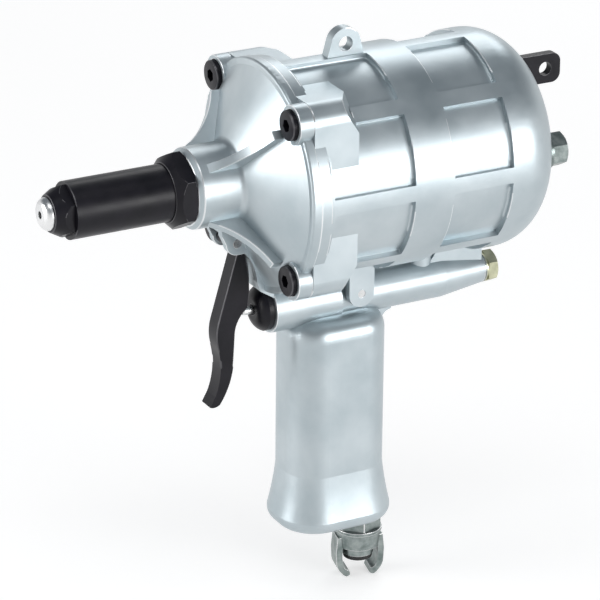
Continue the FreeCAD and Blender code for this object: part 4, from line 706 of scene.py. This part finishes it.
# %% Sizes of the socket screw
HEAD_RADIUS = 0.0065
HEAD_LENGTH = 0.0050
SHANK_RADIUS = 0.0040
SHANK_LENGTH = 0.0235
SOCKET_FLATS = 0.0050
SOCKET_DEPTH = 0.0032
RIM_CHAMFER = 0.0007
KNURLS = 48
KNURL_DEPTH = 0.00016
KNURL_GAP = 0.00006
THREAD_CHAMFER = 0.0008
CHAMFER_TAPER = 0.8
TURN_OF_EACH = math.radians(17.0)

screw_low, screw_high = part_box("housing_screws")
SEAT = screw_low[0] + HEAD_LENGTH
BOLT_OFFSET = screw_high[1] - HEAD_RADIUS
print("screws at", round(BOLT_OFFSET, 5), "seated at", round(SEAT, 5))


# %% Helpers that pick faces and edges by their place
def unpick(piece):
    """Takes a piece with none of its faces, edges and points selected."""
    take(piece)
    for kind in (piece.data.polygons, piece.data.edges, piece.data.vertices):
        for element in kind:
            element.select = False


def pick_faces(piece, test):
    """Selects the faces whose middle and normal pass the test."""
    unpick(piece)
    for face in piece.data.polygons:
        face.select = test(face.center, face.normal)
    bpy.ops.object.mode_set(mode="EDIT")
    bpy.ops.mesh.select_mode(type="FACE")


def pick_edges(piece, test):
    """Selects the edges whose two ends both pass the test."""
    unpick(piece)
    points = piece.data.vertices
    for edge in piece.data.edges:
        edge.select = all(test(points[v].co) for v in edge.vertices)
        for v in edge.vertices:
            points[v].select = points[v].select or edge.select
    bpy.ops.object.mode_set(mode="EDIT")
    bpy.ops.mesh.select_mode(type="EDGE")


# %% Turn the head and shank of one screw
deselect()
bpy.ops.mesh.primitive_cylinder_add(
    vertices=2 * KNURLS, radius=HEAD_RADIUS, depth=HEAD_LENGTH, end_fill_type="NGON",
    location=(SEAT - HEAD_LENGTH / 2.0, 0.0, 0.0), rotation=(0.0, math.radians(90.0), 0.0),
)
screw = bpy.context.object
screw.name = "socket_screw"
bpy.ops.object.transform_apply(location=True, rotation=True, scale=True)
pick_edges(screw, lambda point: point.x < SEAT - HEAD_LENGTH + WELD_DISTANCE)
bpy.ops.mesh.bevel(offset=RIM_CHAMFER, segments=3)
pick_faces(screw, lambda middle, normal: normal.x > 0.9)
bpy.ops.mesh.inset(thickness=HEAD_RADIUS - SHANK_RADIUS)
bpy.ops.mesh.extrude_region_move(TRANSFORM_OT_translate={"value": (SHANK_LENGTH - THREAD_CHAMFER, 0.0, 0.0)})
bpy.ops.mesh.extrude_region_move(TRANSFORM_OT_translate={"value": (THREAD_CHAMFER, 0.0, 0.0)})
bpy.ops.transform.resize(value=(1.0, CHAMFER_TAPER, CHAMFER_TAPER))
bpy.ops.object.mode_set(mode="OBJECT")
print("screw blank:", len(screw.data.polygons), "faces")

# %% Cut the knurl and the socket
counted = itertools.count(1)


def every_other_side(middle, normal):
    """Passes each second face round the head, in the order in which the cylinder made them."""
    if abs(normal.x) > 0.01 or math.hypot(middle.y, middle.z) < 0.9 * HEAD_RADIUS:
        return False
    return next(counted) % 2 == 0


pick_faces(screw, every_other_side)
bpy.ops.mesh.inset(thickness=KNURL_GAP, use_individual=True)
bpy.ops.transform.shrink_fatten(value=-KNURL_DEPTH)
bpy.ops.object.mode_set(mode="OBJECT")
deselect()
bpy.ops.mesh.primitive_cylinder_add(
    vertices=6, radius=SOCKET_FLATS / math.sqrt(3.0), depth=2.0 * SOCKET_DEPTH,
    location=(SEAT - HEAD_LENGTH, 0.0, 0.0), rotation=(0.0, math.radians(90.0), 0.0),
)
key = bpy.context.object
apply(screw, "BOOLEAN", operation="DIFFERENCE", object=key, solver="EXACT")
bpy.data.objects.remove(key)
take(screw)
bpy.ops.object.shade_smooth_by_angle(angle=math.radians(32.0))
screw.data.materials.clear()
screw.data.materials.append(BLACK)
screw.data.materials.append(BLACK_EDGE)
# The rim chamfer takes the lighter edge finish, a painted highlight.
for face in screw.data.polygons:
    on_rim = face.center.x < SEAT - HEAD_LENGTH + RIM_CHAMFER and -0.95 < face.normal.x < -0.1
    face.material_index = 1 if on_rim else 0
print("finished screw:", len(screw.data.polygons), "faces")

# %% Copy the screw to its four lugs
for number, (side_y, side_z) in enumerate(((-1, 1), (1, 1), (1, -1), (-1, -1)), start=1):
    copied = bpy.data.objects.new("socket_screw_%d" % number, screw.data.copy())
    bpy.context.scene.collection.objects.link(copied)
    take(copied)
    bpy.ops.transform.rotate(value=number * TURN_OF_EACH, orient_axis="X", center_override=(0.0, 0.0, 0.0))
    bpy.ops.transform.translate(value=(0.0, side_y * BOLT_OFFSET, side_z * BOLT_OFFSET))
    bpy.ops.object.transform_apply(location=True, rotation=True, scale=True)
    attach(copied, frame["nodes"]["housing_screws"]["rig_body"])
    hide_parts("housing_screws")
bpy.data.objects.remove(screw)
print("screws copied:", number)

# %% [markdown]
# The small parts come last: the bright nozzle and pins, the plated nipple and coupling, the brass plug in
# the arm. They are turned on a lathe, and the tool leaves a hair's breadth of chamfer on each edge.

# %% Round the bright and plated parts
BRIGHT_PARTS = {
    "nozzle": (TURNED, BRIGHT, 0.0003),
    "breather_plug": (ZINC, BRIGHT, 0.0002),
    "arm_plug": (BRASS, BRASS, 0.0003),
    "arm_plug_washer": (ZINC, BRIGHT, 0.0002),
    "inlet_nipple": (ZINC, BRIGHT, 0.0003),
    "claw_coupling": (ZINC, BRIGHT, 0.0004),
    "hanger_screw": (BLACK, BLACK_EDGE, 0.0003),
    "handle_pin": (BRIGHT, BRIGHT, 0.0004),
    "trigger_pin": (BRIGHT, BRIGHT, 0.0004),
    "valve_stem": (BRIGHT, BRIGHT, 0.0002),
}

for part, (body_finish, edge_finish, width) in BRIGHT_PARTS.items():
    rounded_copy(part, (body_finish, edge_finish), width)

# %% [markdown]
# Two springs are pressed together when the tool works: one pushes the pistons back, the other the valve
# stem. A spring that stayed stiff would stick through whatever presses on it. So the rear end of each
# follows the tool, the front end follows the piece that presses, and the turns between share the travel.

# %% Let the springs shorten
PRESSED_BY = {"return_spring": "ram", "valve_spring": "valve_spool"}

for spring, pressing_body in PRESSED_BY.items():
    low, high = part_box(spring)
    front_end = (low[0], (low[1] + high[1]) / 2.0, (low[2] + high[2]) / 2.0)
    rear_end = (high[0], front_end[1], front_end[2])
    wire = bpy.data.objects.new(spring + "_dressed", frame["nodes"][spring].data.copy())
    bpy.context.scene.collection.objects.link(wire)
    wire.data.materials.clear()
    wire.data.materials.append(SPRING)
    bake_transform(wire, "tool", pressing_body, start=rear_end, end=front_end)
    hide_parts(spring)
    print(spring, "shortens from", round(high[0] - low[0], 4))

# %% [markdown] The tool's size is measured once, before dressing, and the sheet lies at its lowest point.
